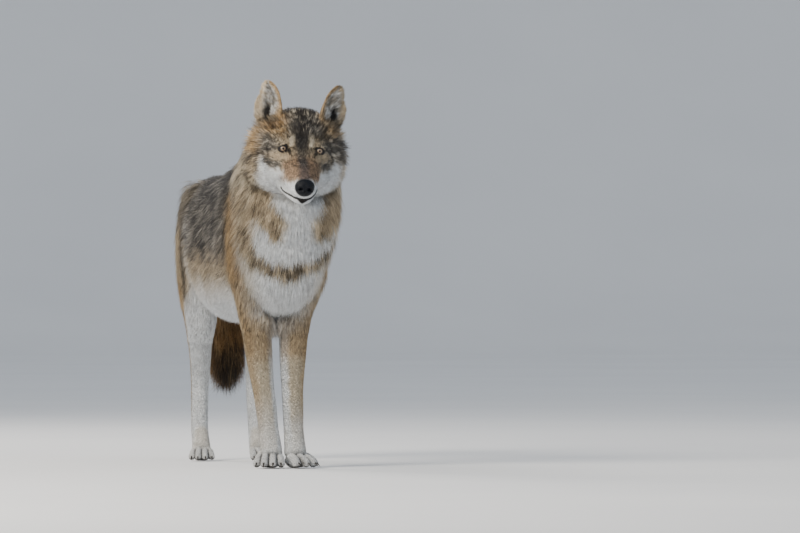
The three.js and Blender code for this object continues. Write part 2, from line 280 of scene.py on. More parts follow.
# Skull and upper jaw, from the nose back: y, z, half-width, radius below, above, depth of the coat.
SKULL = (
    (-140, -55, 23, 20, 24, 2),
    (-120, -56, 31, 26, 32, 2.5),
    (-92, -55, 38, 31, 37, 3),
    (-62, -52, 44, 36, 40, 3.5),
    (-34, -48, 50, 42, 43, 4),
    (-10, -46, 60, 48, 58, 4.5),
    (16, -50, 78, 60, 98, 7),
    (48, -60, 101, 72, 136, 10),
    (84, -68, 120, 86, 146, 14),
    (122, -70, 116, 86, 136, 16),
    (158, -70, 76, 60, 92, 18),
)
JAW = (
    (-124, -82, 17, 14, 12, 2),
    (-106, -84, 26, 17, 14, 2.5),
    (-70, -86, 37, 21, 18, 3),
    (-30, -87, 47, 26, 22, 4),
    (8, -88, 55, 33, 30, 7),
    (40, -88, 58, 36, 34, 9),
)
# Ear of one side: x, y, z, half-width, front radius, rear radius, coat. Below zero makes the hollow.
EAR = (
    (87, 94, 137, 8, 2, 5, 1),
    (86, 93, 130, 15, 0, 9, 1.1),
    (84, 90, 119, 22, -4, 14, 1.3),
    (81, 87, 104, 28, -9, 19, 1.5),
    (81, 85, 86, 34.5, -12, 25, 2),
    (82, 86, 64, 39, -10, 30, 3),
    (81, 90, 40, 37, -6, 30, 5),
    (72, 94, 16, 29, 4, 22, 7),
)
EAR_FACING = 24.0  # degrees that the ear's opening turns outwards
SIDE_NAMES = {1: "left", -1: "right"}  # by the sign of x
LEGS = tuple((kind, sign) for kind in ("fore", "hind") for sign in SIDE_NAMES)
LEAST_RADIUS = 4 * MM  # a limb counts as no thinner than this where points are placed on it


# ---- Shapes carried along paths ----------------------------------------------------------------
def spline(values: Array, knots: Array, at: Array) -> tuple[Array, Array]:
    """A smooth curve through rows of values, and how fast it moves.

    Between two rows the curve is a cubic that starts and ends with the slopes of a centripetal
    Catmull-Rom curve, whose knot gaps are the square roots of the distances between rows.

    Args:
        values: One row for each station.
        knots: The gap in front of each row, one more than there are stretches at either end.
        at: Places along the curve, from 0 at the first row to 1 at the last.

    Returns:
        The rows at those places, and their rates of change.
    """
    count = len(values)
    padded = np.vstack([2 * values[0] - values[1], values, 2 * values[-1] - values[-2]])
    scaled = np.clip(at, 0.0, 1.0) * (count - 1)
    index = np.minimum(scaled.astype(int), count - 2)
    w = (scaled - index)[:, None]
    p0, p1, p2, p3 = (padded[index + k] for k in range(4))
    g0, g1, g2 = (knots[index + k][:, None] for k in range(3))
    start = ((p1 - p0) / g0 - (p2 - p0) / (g0 + g1) + (p2 - p1) / g1) * g1
    end = ((p2 - p1) / g1 - (p3 - p1) / (g1 + g2) + (p3 - p2) / g2) * g1
    c2 = -3 * p1 + 3 * p2 - 2 * start - end
    c3 = 2 * p1 - 2 * p2 + start + end
    return p1 + start * w + c2 * w**2 + c3 * w**3, start + 2 * c2 * w + 3 * c3 * w**2


def knot_gaps(values: Array) -> Array:
    """Square roots of the distances between neighbouring rows, with the end gaps repeated."""
    gaps = np.sqrt(np.maximum(np.linalg.norm(np.diff(values, axis=0), axis=1), 1e-4))
    return np.concatenate([gaps[:1], gaps, gaps[-1:]])


@dataclass(frozen=True)
class Section:
    """The body's section at places along a limb, in the frame and in metres."""

    middle: Array
    out: Array
    front: Array
    forward: Array
    radii: Array  # half-width, front, rear, depth of the coat


@dataclass(frozen=True)
class Whereabouts:
    """Where points lie on a limb."""

    share: Array  # 0 at the limb's start, 1 at its end
    angle: Array  # radians: 0 points out along the side, a quarter turn points to the front
    nearness: Array  # 1 on the limb's own surface, more outside it
    hollow: Array  # above 0 in front of the middle of a hollowed limb's wall
    forward: Array
    front: Array
    out: Array
    points: Array


@dataclass(frozen=True)
class Limb:
    """One length of the body: an oval section carried along a smooth path."""

    name: str
    stations: Rows
    place: Place = BODY
    side: Triple = (1.0, 0.0, 0.0)
    fullness: float = 1.08  # 1 is an ellipse, more is squarer
    dome: float = 0.06  # share of the path that each rounded end takes
    around: int = 40
    rings: int = 48
    rear_coat: float = 1.0  # depth of the coat at the rear, as a share of the table's

    def section(self, at: Array) -> Section:
        """The middle, directions and radii of the section at shares of the path's length."""
        table = np.array(self.stations, dtype=float)
        middle, forward = spline(table[:, :3], knot_gaps(table[:, :3]), at)
        radii, _ = spline(table[:, 3:], knot_gaps(table[:, 3:6]), at)
        forward = unit(forward)
        front = unit(np.cross(forward, np.array(self.side)))
        out = np.cross(front, forward)
        place = self.place
        return Section(
            place.points(middle),
            place.vectors(out),
            place.vectors(front),
            place.vectors(forward),
            radii * MM * place.size,
        )

    def shell(self) -> Shape:
        """The limb's closed surface, inside the tips of the coat by the coat's depth.

        A ring's point at angle a lies at out * width * cos(a) + front * radius * sin(a), with both waves
        raised to 1 / fullness. Rings shrink to a pole at both ends as a quarter circle does.
        """
        bend = np.linspace(0.0, math.pi / 2, 7)
        cap = self.dome * (1.0 - np.cos(bend))
        at = np.concatenate([cap, np.linspace(self.dome, 1 - self.dome, self.rings)[1:-1], 1 - cap[::-1]])
        size = np.concatenate([np.sin(bend), np.ones(self.rings - 2), np.sin(bend)[::-1]])
        size = np.maximum(size, 1e-3)
        cut = self.section(at)
        angle = ring_angles(self.around)
        wave_out = np.sign(np.cos(angle)) * np.abs(np.cos(angle)) ** (1 / self.fullness)
        wave_front = np.sign(np.sin(angle)) * np.abs(np.sin(angle)) ** (1 / self.fullness)
        rear = np.clip(-np.sin(angle), 0.0, 1.0)
        depth = cut.radii[:, 3:4] * (1.0 + (self.rear_coat - 1.0) * rear[None, :])
        width = cut.radii[:, 0:1] - depth
        reach = np.where(np.sin(angle)[None, :] > 0, cut.radii[:, 1:2], cut.radii[:, 2:3]) - depth
        points = (
            cut.middle[:, None, :]
            + cut.out[:, None, :] * (size[:, None] * width * wave_out[None, :])[:, :, None]
            + cut.front[:, None, :] * (size[:, None] * reach * wave_front[None, :])[:, :, None]
        )
        return closed_tube(points.reshape(-1, 3), len(at), self.around)

    def locate(self, points: Array, samples: int = 56, batch: int = 20000) -> Whereabouts:
        """Where points lie on the limb: the nearest section's share, and the angle and distance in it.

        Args:
            points: Places in the frame.
            samples: How many sections are tried.
            batch: How many points are worked on at once, to spare memory.

        Returns:
            Where each point lies.
        """
        at = np.linspace(0.0, 1.0, samples)
        cut = self.section(at)
        middle = cut.middle.astype(np.float32)
        nearest = np.empty(len(points), dtype=int)
        for start in range(0, len(points), batch):
            part = points[start : start + batch].astype(np.float32)
            gap = (part**2).sum(1)[:, None] - 2 * part @ middle.T + (middle**2).sum(1)[None, :]
            nearest[start : start + batch] = gap.argmin(1)
        away = points - cut.middle[nearest]
        along = (away * cut.forward[nearest]).sum(1)
        aside = (away * cut.out[nearest]).sum(1)
        ahead = (away * cut.front[nearest]).sum(1)
        radii = cut.radii[nearest]
        width = np.maximum(radii[:, 0], LEAST_RADIUS)
        reach = np.maximum(np.where(ahead > 0, np.abs(radii[:, 1]), radii[:, 2]), LEAST_RADIUS)
        past_end = np.where((nearest == 0) | (nearest == samples - 1), along / width, 0.0)
        nearness = np.sqrt((aside / width) ** 2 + (ahead / reach) ** 2 + past_end**2)
        step = 1.0 / (samples - 1)
        spacing = np.linalg.norm(np.gradient(cut.middle, at, axis=0), axis=1)[nearest]
        share = np.clip(nearest * step + along / np.maximum(spacing, 1e-6), 0.0, 1.0)
        wave = np.sqrt(np.clip(1.0 - (aside / width) ** 2, 0.0, 1.0))
        hollow = (ahead - wave * (radii[:, 1] - radii[:, 2]) / 2) / MM
        return Whereabouts(
            share,
            np.arctan2(ahead, aside),
            nearness,
            hollow,
            cut.forward[nearest],
            cut.front[nearest],
            cut.out[nearest],
            points,
        )


def tube_faces(rows: int, around: int) -> Faces:
    """Quads between the rings of a tube whose points run round each ring."""
    row, col = np.meshgrid(np.arange(rows - 1), np.arange(around), indexing="ij")
    here = row * around + col
    beside = row * around + (col + 1) % around
    return np.stack([here, here + around, beside + around, beside], axis=-1).reshape(-1, 4)


def leg_stations(kind: str, sign: int) -> Rows:
    """The stations of a whole leg, from the shoulder or hip down into its foot.

    Args:
        kind: "fore" or "hind".
        sign: 1 for the wolf's left, -1 for its right.

    Returns:
        Rows of x, y, z, half-width, front, rear and coat.
    """
    out, along = LEG_TOPS[kind]
    foot_x, foot_y, _, bow, _ = FEET[f"{kind}paw_{SIDE_NAMES[sign]}"]
    rows = np.array(FORELEG if kind == "fore" else HINDLEG, dtype=float)
    z, share, offset, width, front, rear, coat = rows.T
    bowed = bow * np.sin(math.pi * np.maximum(share, 0.0) ** 1.4)
    x = sign * out + share * (foot_x - sign * out) + bowed
    y = along + share * (foot_y - along) + offset
    return tuple(map(tuple, np.column_stack([x, y, z, width, front, rear, coat])))


def foot_place(foot: str) -> Place:
    """Where a foot stands, and which way its toes point."""
    x, y, toes_turn, _, size = FEET[foot]
    return Place(turn("z", toes_turn), np.array([x, y, 0.0]), size)


def trunk_stations() -> Rows:
    """The trunk's rows as path stations, with their middle halfway up."""
    y, top, bottom, width, coat = np.array(TRUNK, dtype=float).T
    half = (top - bottom) / 2
    return tuple(map(tuple, np.column_stack([0 * y, y, bottom + half, width, half, half, coat])))


def midline(rows: Rows) -> Rows:
    """Head rows of y, z, width, below, above and coat as path stations."""
    return tuple((0.0, y, z, w, below, above, coat) for y, z, w, below, above, coat in rows)


def ear_limb(sign: int) -> Limb:
    """The ear of one side."""
    facing = math.radians(EAR_FACING) * sign
    rows = tuple((sign * x, *rest) for x, *rest in EAR)
    side = (math.cos(facing), math.sin(facing), 0.0)
    return Limb(f"ear_{SIDE_NAMES[sign]}", rows, HEAD, side, fullness=1.2, dome=0.06, around=36, rings=30)


def face_height(head: Array) -> Array:
    """Height above the eyes as the head is carried, from points in the head's own millimetres."""
    pitch = math.radians(HEAD_PITCH)
    return head[:, 1] * math.sin(pitch) + head[:, 2] * math.cos(pitch)


def lip_level(depth: Array) -> Array:
    """Height of the mouth's line at each depth, in the head's own millimetres."""
    path = np.array(Lips.path)[::-1]
    return np.interp(depth, path[:, 1], path[:, 2])


def toe_clefts(foot: Array) -> Array:
    """1 in the furrows between the toes, in a foot's own millimetres, fading out over 3 mm."""
    furrow = np.zeros(len(foot))
    for x in FURROWS:
        line = x * (1.0 - foot[:, 1] / 300.0 - 0.1)  # the furrows spread a little towards the claws
        furrow = np.maximum(furrow, np.exp(-(((foot[:, 0] - line) / 2.6) ** 2)))
    reach = smoothstep(-14.0, -34.0, foot[:, 1]) * fall(34.0, 44.0, foot[:, 2])
    return furrow * reach * (foot[:, 1] > -90.0) * (np.abs(foot[:, 0]) < 42.0)


def paw_limb(foot: str) -> Limb:
    """The paw's own line, from the wrist forward over the toes. It only tells where a point lies."""
    rows = (
        (0, 4, 84, 26, 22, 26, 3),
        (0, -8, 46, 32, 24, 30, 3),
        (0, -34, 24, 38, 26, 30, 3),
        (0, -70, 10, 38, 16, 16, 3),
    )
    return Limb(foot, rows, foot_place(foot), fullness=1.1)


TRUNK_LIMB = Limb("trunk", trunk_stations(), fullness=1.2, around=56, rings=60)
NECK_LIMB = Limb("neck", NECK, dome=0.08, around=56, rings=40)
TAIL_LIMB = Limb("tail", TAIL, fullness=1.0, dome=0.05)
SKULL_LIMB = Limb("skull", midline(SKULL), HEAD, dome=0.05, around=64, rings=60, rear_coat=0.75)
JAW_LIMB = Limb("jaw", midline(JAW), HEAD, fullness=1.15, dome=0.08)
EAR_LIMBS = tuple(ear_limb(sign) for sign in SIDE_NAMES)
LEG_LIMBS = tuple(
    Limb(f"{kind}leg_{SIDE_NAMES[sign]}", leg_stations(kind, sign), fullness=1.05, dome=0.03)
    for kind, sign in LEGS
)
PAW_LIMBS = tuple(paw_limb(foot) for foot in FEET)


def toe_limbs(foot: str) -> list[Limb]:
    """The toes and the pad of one foot, as limbs in the foot's own place."""
    place = foot_place(foot)
    limbs = []
    for number, (x, reach) in enumerate(TOES):
        splay = x * 0.12
        rows = (
            (x * 0.6, 4, 36, 10, 10, 10, 2),
            (x * 0.85, -reach * 0.35, 31, TOE_RADIUS, TOE_RADIUS, TOE_RADIUS, 2),
            (x, -reach * 0.75, 22, TOE_RADIUS, TOE_RADIUS * 1.1, TOE_RADIUS, 2),
            (x + splay, -reach, 13, TOE_RADIUS * 0.95, TOE_RADIUS, TOE_RADIUS, 2),
            (x + splay, -reach - 7, 8, TOE_RADIUS * 0.8, 9, 8, 2),
        )
        limbs.append(Limb(f"{foot}_toe_{number}", rows, place, fullness=1.05, dome=0.14, around=20, rings=14))
    pad = ((0, 20, 20, 24, 20, 20, 2), (0, -8, 21, 30, 20, 22, 2), (0, -34, 18, 26, 16, 18, 2))
    limbs.append(Limb(f"{foot}_pad", pad, place, dome=0.3, around=20, rings=10))
    return limbs


# ---- Colours of the coat -----------------------------------------------------------------------
class Shade(Enum):
    """The coat's colours, as display values."""

    WHITE = (222, 225, 227)
    CREAM = (206, 195, 174)
    SAND = (192, 180, 158)
    BEIGE = (182, 165, 138)
    TAN = (170, 143, 104)
    ORANGE = (172, 130, 84)
    CINNAMON = (166, 138, 110)
    MAUVE = (112, 98, 92)
    SILVER = (164, 158, 148)
    GREY = (132, 126, 116)
    SLATE = (98, 95, 92)
    CHARCOAL = (62, 58, 55)
    BLACK = (30, 27, 26)
    BROWN = (142, 110, 72)

    def light(self) -> Array:
        """The colour as linear light."""
        return linear(*self.value)


@dataclass
class Paint:
    """A base colour and a share of dark-tipped hairs at each point, laid on in layers."""

    base: Array
    dark: Array

    @staticmethod
    def flat(count: int, shade: Shade, dark: float) -> "Paint":
        """The same colour everywhere."""
        return Paint(np.tile(shade.light(), (count, 1)), np.full(count, dark))

    def lay(self, shade: Shade, dark: float, mask: Array) -> "Paint":
        """Blends a colour and a share of dark hairs in where mask is above 0."""
        self.base += (shade.light() - self.base) * mask[:, None]
        self.dark += (dark - self.dark) * mask
        return self


@dataclass
class Coat:
    """What the coat does at each point of the skin."""

    lie: Array  # direction that the hair lies in
    length: Array
    lift: Array  # radians between hair and skin at the root
    density: Array  # tufts per square centimetre
    paint: Paint

    @staticmethod
    def blank(count: int) -> "Coat":
        """No coat, to which the limbs' own coats are added."""
        lie, base = np.zeros((2, count, 3))
        length, lift, density, dark = np.zeros((4, count))
        return Coat(lie, length, lift, density, Paint(base, dark))


class Pelt:
    """The coat of one kind of limb."""

    def lie(self, at: Whereabouts) -> Array:
        """The hair's direction before it is laid onto the skin."""
        return at.forward

    def hair(self, at: Whereabouts) -> tuple[Array, Array, Array]:
        """Length in metres, lift in degrees, and tufts per square centimetre."""
        raise NotImplementedError

    def paint(self, at: Whereabouts) -> Paint:
        """The markings."""
        raise NotImplementedError

    def coat(self, at: Whereabouts) -> Coat:
        """Everything about the coat at those points."""
        length, lift, density = self.hair(at)
        return Coat(self.lie(at), length, np.radians(lift), density, self.paint(at))


def body_mm(points: Array) -> Array:
    """Points of the frame in the body's own millimetres."""
    return BODY.back(points)


class TrunkPelt(Pelt):
    """Long guard hair: a dark saddle over a beige flank and a cream belly."""

    def lie(self, at: Whereabouts) -> Array:
        """Backwards, sinking down the sides, and downwards on the breast."""
        p = body_mm(at.points)
        sink = np.stack([0 * p[:, 0], 0 * p[:, 0], -np.ones(len(p))], axis=1)
        breast = fall(-400.0, -300.0, p[:, 1])
        sides = np.abs(np.cos(at.angle))
        return at.forward + sink * (0.35 * sides + 1.6 * breast)[:, None]

    def hair(self, at: Whereabouts) -> tuple[Array, Array, Array]:
        """Longest over the withers and rump, shorter on the belly."""
        p = body_mm(at.points)
        low = fall(360.0, 470.0, p[:, 2])
        length = 54.0 - 14.0 * low + 6.0 * smoothstep(-120.0, -260.0, p[:, 1])
        return length * MM, 22.0 + 0 * length, 12.0 - 2.0 * low

    def paint(self, at: Whereabouts) -> Paint:
        """Saddle by height above the underline, with streaks that run down the flank."""
        p = body_mm(at.points)
        streak = noise(p * np.array([1.0, 1.0, 0.3]), 26.0, 3)
        height = p[:, 2] + 40.0 * (streak - 0.5)
        paint = Paint.flat(len(p), Shade.BEIGE, 0.32)
        paint.lay(Shade.GREY, 0.58, smoothstep(480.0, 560.0, height))
        paint.lay(Shade.GREY, 0.76, smoothstep(550.0, 640.0, height))
        paint.lay(Shade.SLATE, 0.88, smoothstep(610.0, 680.0, height))
        flow = np.column_stack([p[:, 0], p[:, 1], p[:, 2] * 0.45 - 0.2 * p[:, 1]])
        upper = smoothstep(470.0, 560.0, height)
        paint.lay(Shade.SILVER, 0.2, flecks(flow, 10.0, 5, 0.58, 0.66) * 0.7 * upper)
        paint.lay(Shade.BLACK, 0.98, flecks(flow, 11.0, 6, 0.52, 0.6) * 0.92 * upper)
        specks = flecks(flow, 8.0, 7, 0.6, 0.7) * 0.5 * (1.0 - upper)
        paint.lay(Shade.CHARCOAL, 0.8, specks * smoothstep(430.0, 470.0, height))
        paint.lay(Shade.WHITE, 0.02, fall(390.0, 480.0, height))
        breast = fall(-320.0, -260.0, p[:, 1] - 0.3 * np.abs(p[:, 0]))
        return paint.lay(Shade.WHITE, 0.0, breast * fall(430.0, 450.0, p[:, 2]))


class NeckPelt(Pelt):
    """The mane: longest hair of the body, with a white bib, tan sides and a dark nape."""

    def lie(self, at: Whereabouts) -> Array:
        """Down the neck, sweeping back from the throat to the nape."""
        back = np.tile(np.array([0.0, 1.0, 0.0]), (len(at.share), 1))
        sweep = 0.55 - 0.5 * np.sin(at.angle)
        aside = 0.12 * np.cos(at.angle)
        return at.forward + back * sweep[:, None] + at.out * aside[:, None]

    def hair(self, at: Whereabouts) -> tuple[Array, Array, Array]:
        """Longest at the sides."""
        throat = smoothstep(0.4, 0.95, np.sin(at.angle))
        z = body_mm(at.points)[:, 2]
        nape = smoothstep(715.0, 800.0, z)
        length = (54.0 - 14.0 * throat) * (1.0 - 0.55 * nape) + 14.0 * fall(440.0, 500.0, z)
        return length * MM, (30.0 - 6.0 * throat) * (1.0 - 0.5 * nape), 26.0 + 4.0 * throat + 4.0 * nape

    def paint(self, at: Whereabouts) -> Paint:
        """Bands by height and by the angle from the throat."""
        p = body_mm(at.points)
        z = p[:, 2] + wobble(p, 30.0, 11, 18.0) + wobble(p, 9.0, 13, 8.0)
        centre = 9.0 * between(550.0, 640.0, 50.0, z)
        aside = np.abs(np.degrees(np.arctan2(np.cos(at.angle), np.sin(at.angle))) - centre)
        aside = aside + wobble(p, 22.0, 12, 10.0) + wobble(p, 8.0, 14, 8.0)
        paint = Paint.flat(len(p), Shade.SAND, 0.34)
        paint.lay(Shade.TAN, 0.36, smoothstep(60.0, 100.0, aside) * between(480.0, 640.0, 60.0, z) * 0.6)
        paint.lay(Shade.GREY, 0.5, smoothstep(96.0, 130.0, aside))
        flow = p * np.array([1.0, 0.6, 0.4])
        paint.lay(Shade.CREAM, 0.1, flecks(flow, 8.0, 15, 0.56, 0.66) * 0.6)
        specks = flecks(flow, 8.0, 16, 0.6, 0.68) * smoothstep(40.0, 120.0, aside)
        paint.lay(Shade.CHARCOAL, 0.9, specks * 0.6)
        paint.lay(Shade.SLATE, 0.8, smoothstep(128.0, 160.0, aside))
        paint.lay(Shade.TAN, 0.42, between(30.0, 66.0, 16.0, aside) * between(556.0, 650.0, 24.0, z) * 0.4)
        swag = z - 62.0 * np.clip(aside / 60.0, 0.0, 1.3) ** 2
        heights = [488, 506, 528, 546, 558, 568, 592, 624, 640, 662, 690, 735, 750]
        bib_edge = np.interp(z, heights, [30, 46, 48, 38, 27, 21, 21, 32, 42, 48, 50, 52, 0])
        paint.lay(Shade.WHITE, 0.0, fall(bib_edge - 8.0, bib_edge + 6.0, aside) * (z < 752.0))
        paint.lay(Shade.WHITE, 0.0, between(496.0, 528.0, 9.0, swag) * fall(52.0, 66.0, aside))
        paint.lay(Shade.BEIGE, 0.6, between(462.0, 486.0, 8.0, swag) * fall(72.0, 100.0, aside) * 0.95)
        paint.lay(Shade.WHITE, 0.0, fall(444.0, 458.0, swag) * fall(70.0, 88.0, aside))
        low = fall(420.0, 442.0, p[:, 2]) * fall(60.0, 90.0, np.abs(p[:, 0]))
        return paint.lay(Shade.WHITE, 0.0, low)


class HeadPelt(Pelt):
    """Short dense hair: dark forehead, cinnamon muzzle, white cheeks and chin."""

    def face(self, at: Whereabouts) -> tuple[Array, Array, Array]:
        """Sideways place, height as the face is carried, and depth behind the eyes, in millimetres."""
        p = HEAD.back(at.points)
        return p[:, 0], face_height(p), p[:, 1]

    def lie(self, at: Whereabouts) -> Array:
        """Back from the nose, out and down over the cheeks, and away from the eyes."""
        x, h, depth = self.face(at)
        cheek = smoothstep(-10.0, 60.0, depth) * fall(-40.0, 40.0, h)
        aside = 1.15 * np.sign(x) * cheek + 0.2 * x / 60.0
        local = np.stack([aside, np.ones(len(x)), 0.1 - 1.1 * cheek], axis=1)
        head = HEAD.back(at.points)
        for sign in SIDE_NAMES:
            away = head - Eye(sign).centre()
            far = np.linalg.norm(away, axis=1)
            local += 3.0 * unit(away) * fall(13.0, 26.0, far)[:, None]
        return HEAD.vectors(local)

    def hair(self, at: Whereabouts) -> tuple[Array, Array, Array]:
        """A few millimetres on the muzzle, rising to the ruff behind the cheeks."""
        x, h, depth = self.face(at)
        length = np.interp(depth, [-130, -70, -20, 10, 50, 90], [4.5, 6.5, 9, 14, 26, 48])
        crown = smoothstep(40.0, 80.0, h)
        length = length - crown * np.maximum(length - 19.0 - 8.0 * smoothstep(30.0, 60.0, np.abs(x)), 0.0)
        head = HEAD.back(at.points)
        for sign in SIDE_NAMES:
            far = np.linalg.norm(head - Eye(sign).centre(), axis=1)
            length = np.minimum(length, 3.5 + 0.5 * np.maximum(far - 14.0, 0.0))
        lift = np.interp(length, [4, 10, 20, 48], [16, 19, 23, 38]) * (1.0 - 0.3 * crown)
        density = np.interp(length, [4, 8, 14, 20, 30, 42], [72, 62, 48, 36, 28, 26])
        return length * MM, lift, density

    def paint(self, at: Whereabouts) -> Paint:
        """The mask, laid on in the order that a painter would, with painted warm light on the wolf's right
        side of the head and painted shade on its left.
        """
        x, h, depth = self.face(at)
        p = HEAD.back(at.points)
        lip_height = p[:, 2]
        x = x + wobble(p, 9.0, 21, 7.0)
        h = h + wobble(p, 9.0, 22, 11.0)
        side = np.abs(x)
        paint = Paint.flat(len(x), Shade.BEIGE, 0.5)
        paint.lay(Shade.TAN, 0.46, smoothstep(20.0, 45.0, side) * smoothstep(18.0, 40.0, h))
        # Silver grizzle over the forehead, the real marking; it reaches further out on the wolf's left, which
        # is painted shade of the side away from the key lamp.
        paint.lay(Shade.SILVER, 0.8, fall(14.0, 56.0, side - 0.35 * x) * smoothstep(20.0, 45.0, h))
        paint.lay(Shade.SLATE, 0.88, smoothstep(76.0, 96.0, h) * fall(24.0, 64.0, side) * 0.8)
        paint.lay(Shade.CHARCOAL, 0.94, fall(0.0, 32.0, side) * between(14.0, 90.0, 20.0, h) * 0.95)
        paint.lay(Shade.CREAM, 0.15, flecks(p, 3.4, 24, 0.58, 0.7) * 0.5 * smoothstep(16.0, 30.0, h))
        paint.lay(Shade.BLACK, 0.95, flecks(p, 3.4, 25, 0.56, 0.66) * 0.55 * smoothstep(16.0, 30.0, h))
        paint.lay(Shade.SILVER, 0.7, spot(side, h, (96.0, 8.0), (40.0, 30.0), 0.5) * 0.9)
        paint.lay(Shade.SILVER, 0.78, spot(side, h, (64.0, -34.0), (20.0, 14.0), 0.5) * 0.9)
        # Tan over the temple on the wolf's right side only: painted warm light from the key lamp on that
        # side.
        key_lit_temple = smoothstep(80.0, 100.0, side) * smoothstep(10.0, -10.0, x)
        paint.lay(Shade.TAN, 0.42, key_lit_temple * smoothstep(-30.0, 0.0, h))
        # An orange patch on the right side of the crown only: painted warm light from the key lamp.
        paint.lay(Shade.ORANGE, 0.4, spot(x, h, (-66.0, 70.0), (32.0, 22.0), 0.5) * 0.35)
        line = np.interp(side, [38, 46, 52, 70, 77, 82, 107, 138], [-60, -50, -46, -46, -34, -22, -19, -6])
        cheek = fall(line - 9.0, line + 5.0, h) * smoothstep(24.0, 40.0, side)
        paint.lay(Shade.WHITE, 0.0, cheek * fall(86.0 + 0.08 * x, 104.0 + 0.08 * x, side))
        muzzle = fall(-46.0, 2.0, depth + 0.3 * (h + 40.0)) * fall(36.0, 54.0, side)
        paint.lay(Shade.CINNAMON, 0.36, muzzle * smoothstep(-88.0, -68.0, h) * fall(-20.0, 6.0, h))
        freckles = flecks(p, 3.6, 28, 0.6, 0.75) * muzzle * smoothstep(-84.0, -74.0, h)
        paint.lay(Shade.CHARCOAL, 0.8, freckles * 0.4)
        paint.lay(Shade.WHITE, 0.0, fall(-84.0, -70.0, h + 0.4 * side - 8.0) * fall(-10.0, 30.0, depth))
        bridge = fall(6.0, 19.0, side + 0.08 * (h + 60.0))
        paint.lay(Shade.MAUVE, 0.4, bridge * between(-86.0, -30.0, 14.0, h) * 0.9)
        stop = fall(6.0, 24.0, side - 0.12 * h) * between(-34.0, 30.0, 18.0, h)
        paint.lay(Shade.SLATE, 0.7, stop * 0.7)
        for sign in SIDE_NAMES:
            own = sign * x
            paint.lay(Shade.CREAM, 0.0, spot(own, h, (23.5, 20.0), (6.0, 13.0), 0.5) * 0.9)
            paint.lay(Shade.BEIGE, 0.12, spot(own, h, (52.0, -17.0), (20.0, 11.0), 0.5) * 0.9)
            paint.lay(Shade.BLACK, 0.95, spot(own, h, (EYE_OUT - 0.5, 0.5), (12.5, 9.0), 0.2))
            paint.lay(Shade.BLACK, 0.9, stroke(own, h, (34.0, -6.0), (27.0, -14.0), 4.0) * 0.7)
            paint.lay(Shade.BLACK, 0.9, stroke(own, h, (56.0, 3.0), (74.0, -4.0), 5.0) * 0.5)
        chin = fall(0.82, 1.0, np.abs(p[:, 0]) / 20.0 + np.maximum(-80.0 - lip_height, 0.0) / 15.0)
        chin *= (lip_height < -78.0) * fall(-110.0, -102.0, depth)
        seam = fall(1.3, 2.7, np.abs(lip_height - lip_level(depth))) * fall(-35.0, -30.0, depth)
        return paint.lay(Shade.BLACK, 0.9, np.maximum(chin, seam * (lip_height < -70.0)))


@dataclass(frozen=True)
class EarPelt(Pelt):
    """Velvet on the back, long pale hair inside."""

    sign: int

    def lie(self, at: Whereabouts) -> Array:
        """Up towards the tip, and outwards inside."""
        return -at.forward + at.out * (0.6 * self.sign * self.inside(at))[:, None]

    def inside(self, at: Whereabouts) -> Array:
        """1 on the ear's hollow front."""
        return smoothstep(-1.0, 1.0, at.hollow) * fall(0.85, 1.0, at.share)

    def hair(self, at: Whereabouts) -> tuple[Array, Array, Array]:
        """Longer inside than behind."""
        inner = self.inside(at)
        rim = smoothstep(0.6, 0.9, np.abs(np.cos(at.angle)))
        deep = inner * (1.0 - rim) * between(0.25, 0.6, 0.2, at.share)
        length = 6.0 + 15.0 * deep + 10.0 * smoothstep(0.7, 1.0, at.share)
        return length * MM, 12.0 + 20.0 * deep, 36.0 - 8.0 * deep

    def paint(self, at: Whereabouts) -> Paint:
        """Orange tan behind, grey-white hair inside over a hollow painted black as its shade, and a paler
        outer rim.
        """
        inner = self.inside(at)
        outward = np.cos(at.angle) * self.sign
        wisps = noise(at.points, 0.006, 27)
        paint = Paint.flat(len(inner), Shade.TAN, 0.3).lay(Shade.ORANGE, 0.25, np.full(len(inner), 0.5))
        paint.lay(Shade.GREY, 0.45, smoothstep(0.5, 0.9, at.share) * (1.0 - inner) * 0.6)
        paint.lay(Shade.SILVER, 0.3, inner)
        paint.lay(Shade.WHITE, 0.1, inner * smoothstep(0.4, 0.65, wisps) * 0.5)
        # Black deep in the ear's hollow: painted shade of the recess.
        hollow = spot(outward, at.share, (0.15, 0.82), (0.55, 0.2), 0.4)
        paint.lay(Shade.BLACK, 0.95, inner * hollow)
        paint.lay(Shade.TAN, 0.35, smoothstep(0.78, 0.98, -outward) * 0.9)
        paint.lay(Shade.BEIGE, 0.1, smoothstep(0.72, 0.95, outward) * fall(0.7, 0.95, at.share) * 0.9)
        return paint.lay(Shade.BEIGE, 0.6, smoothstep(0.8, 0.92, at.share + 0.06 * wisps) * (1.0 - hollow))


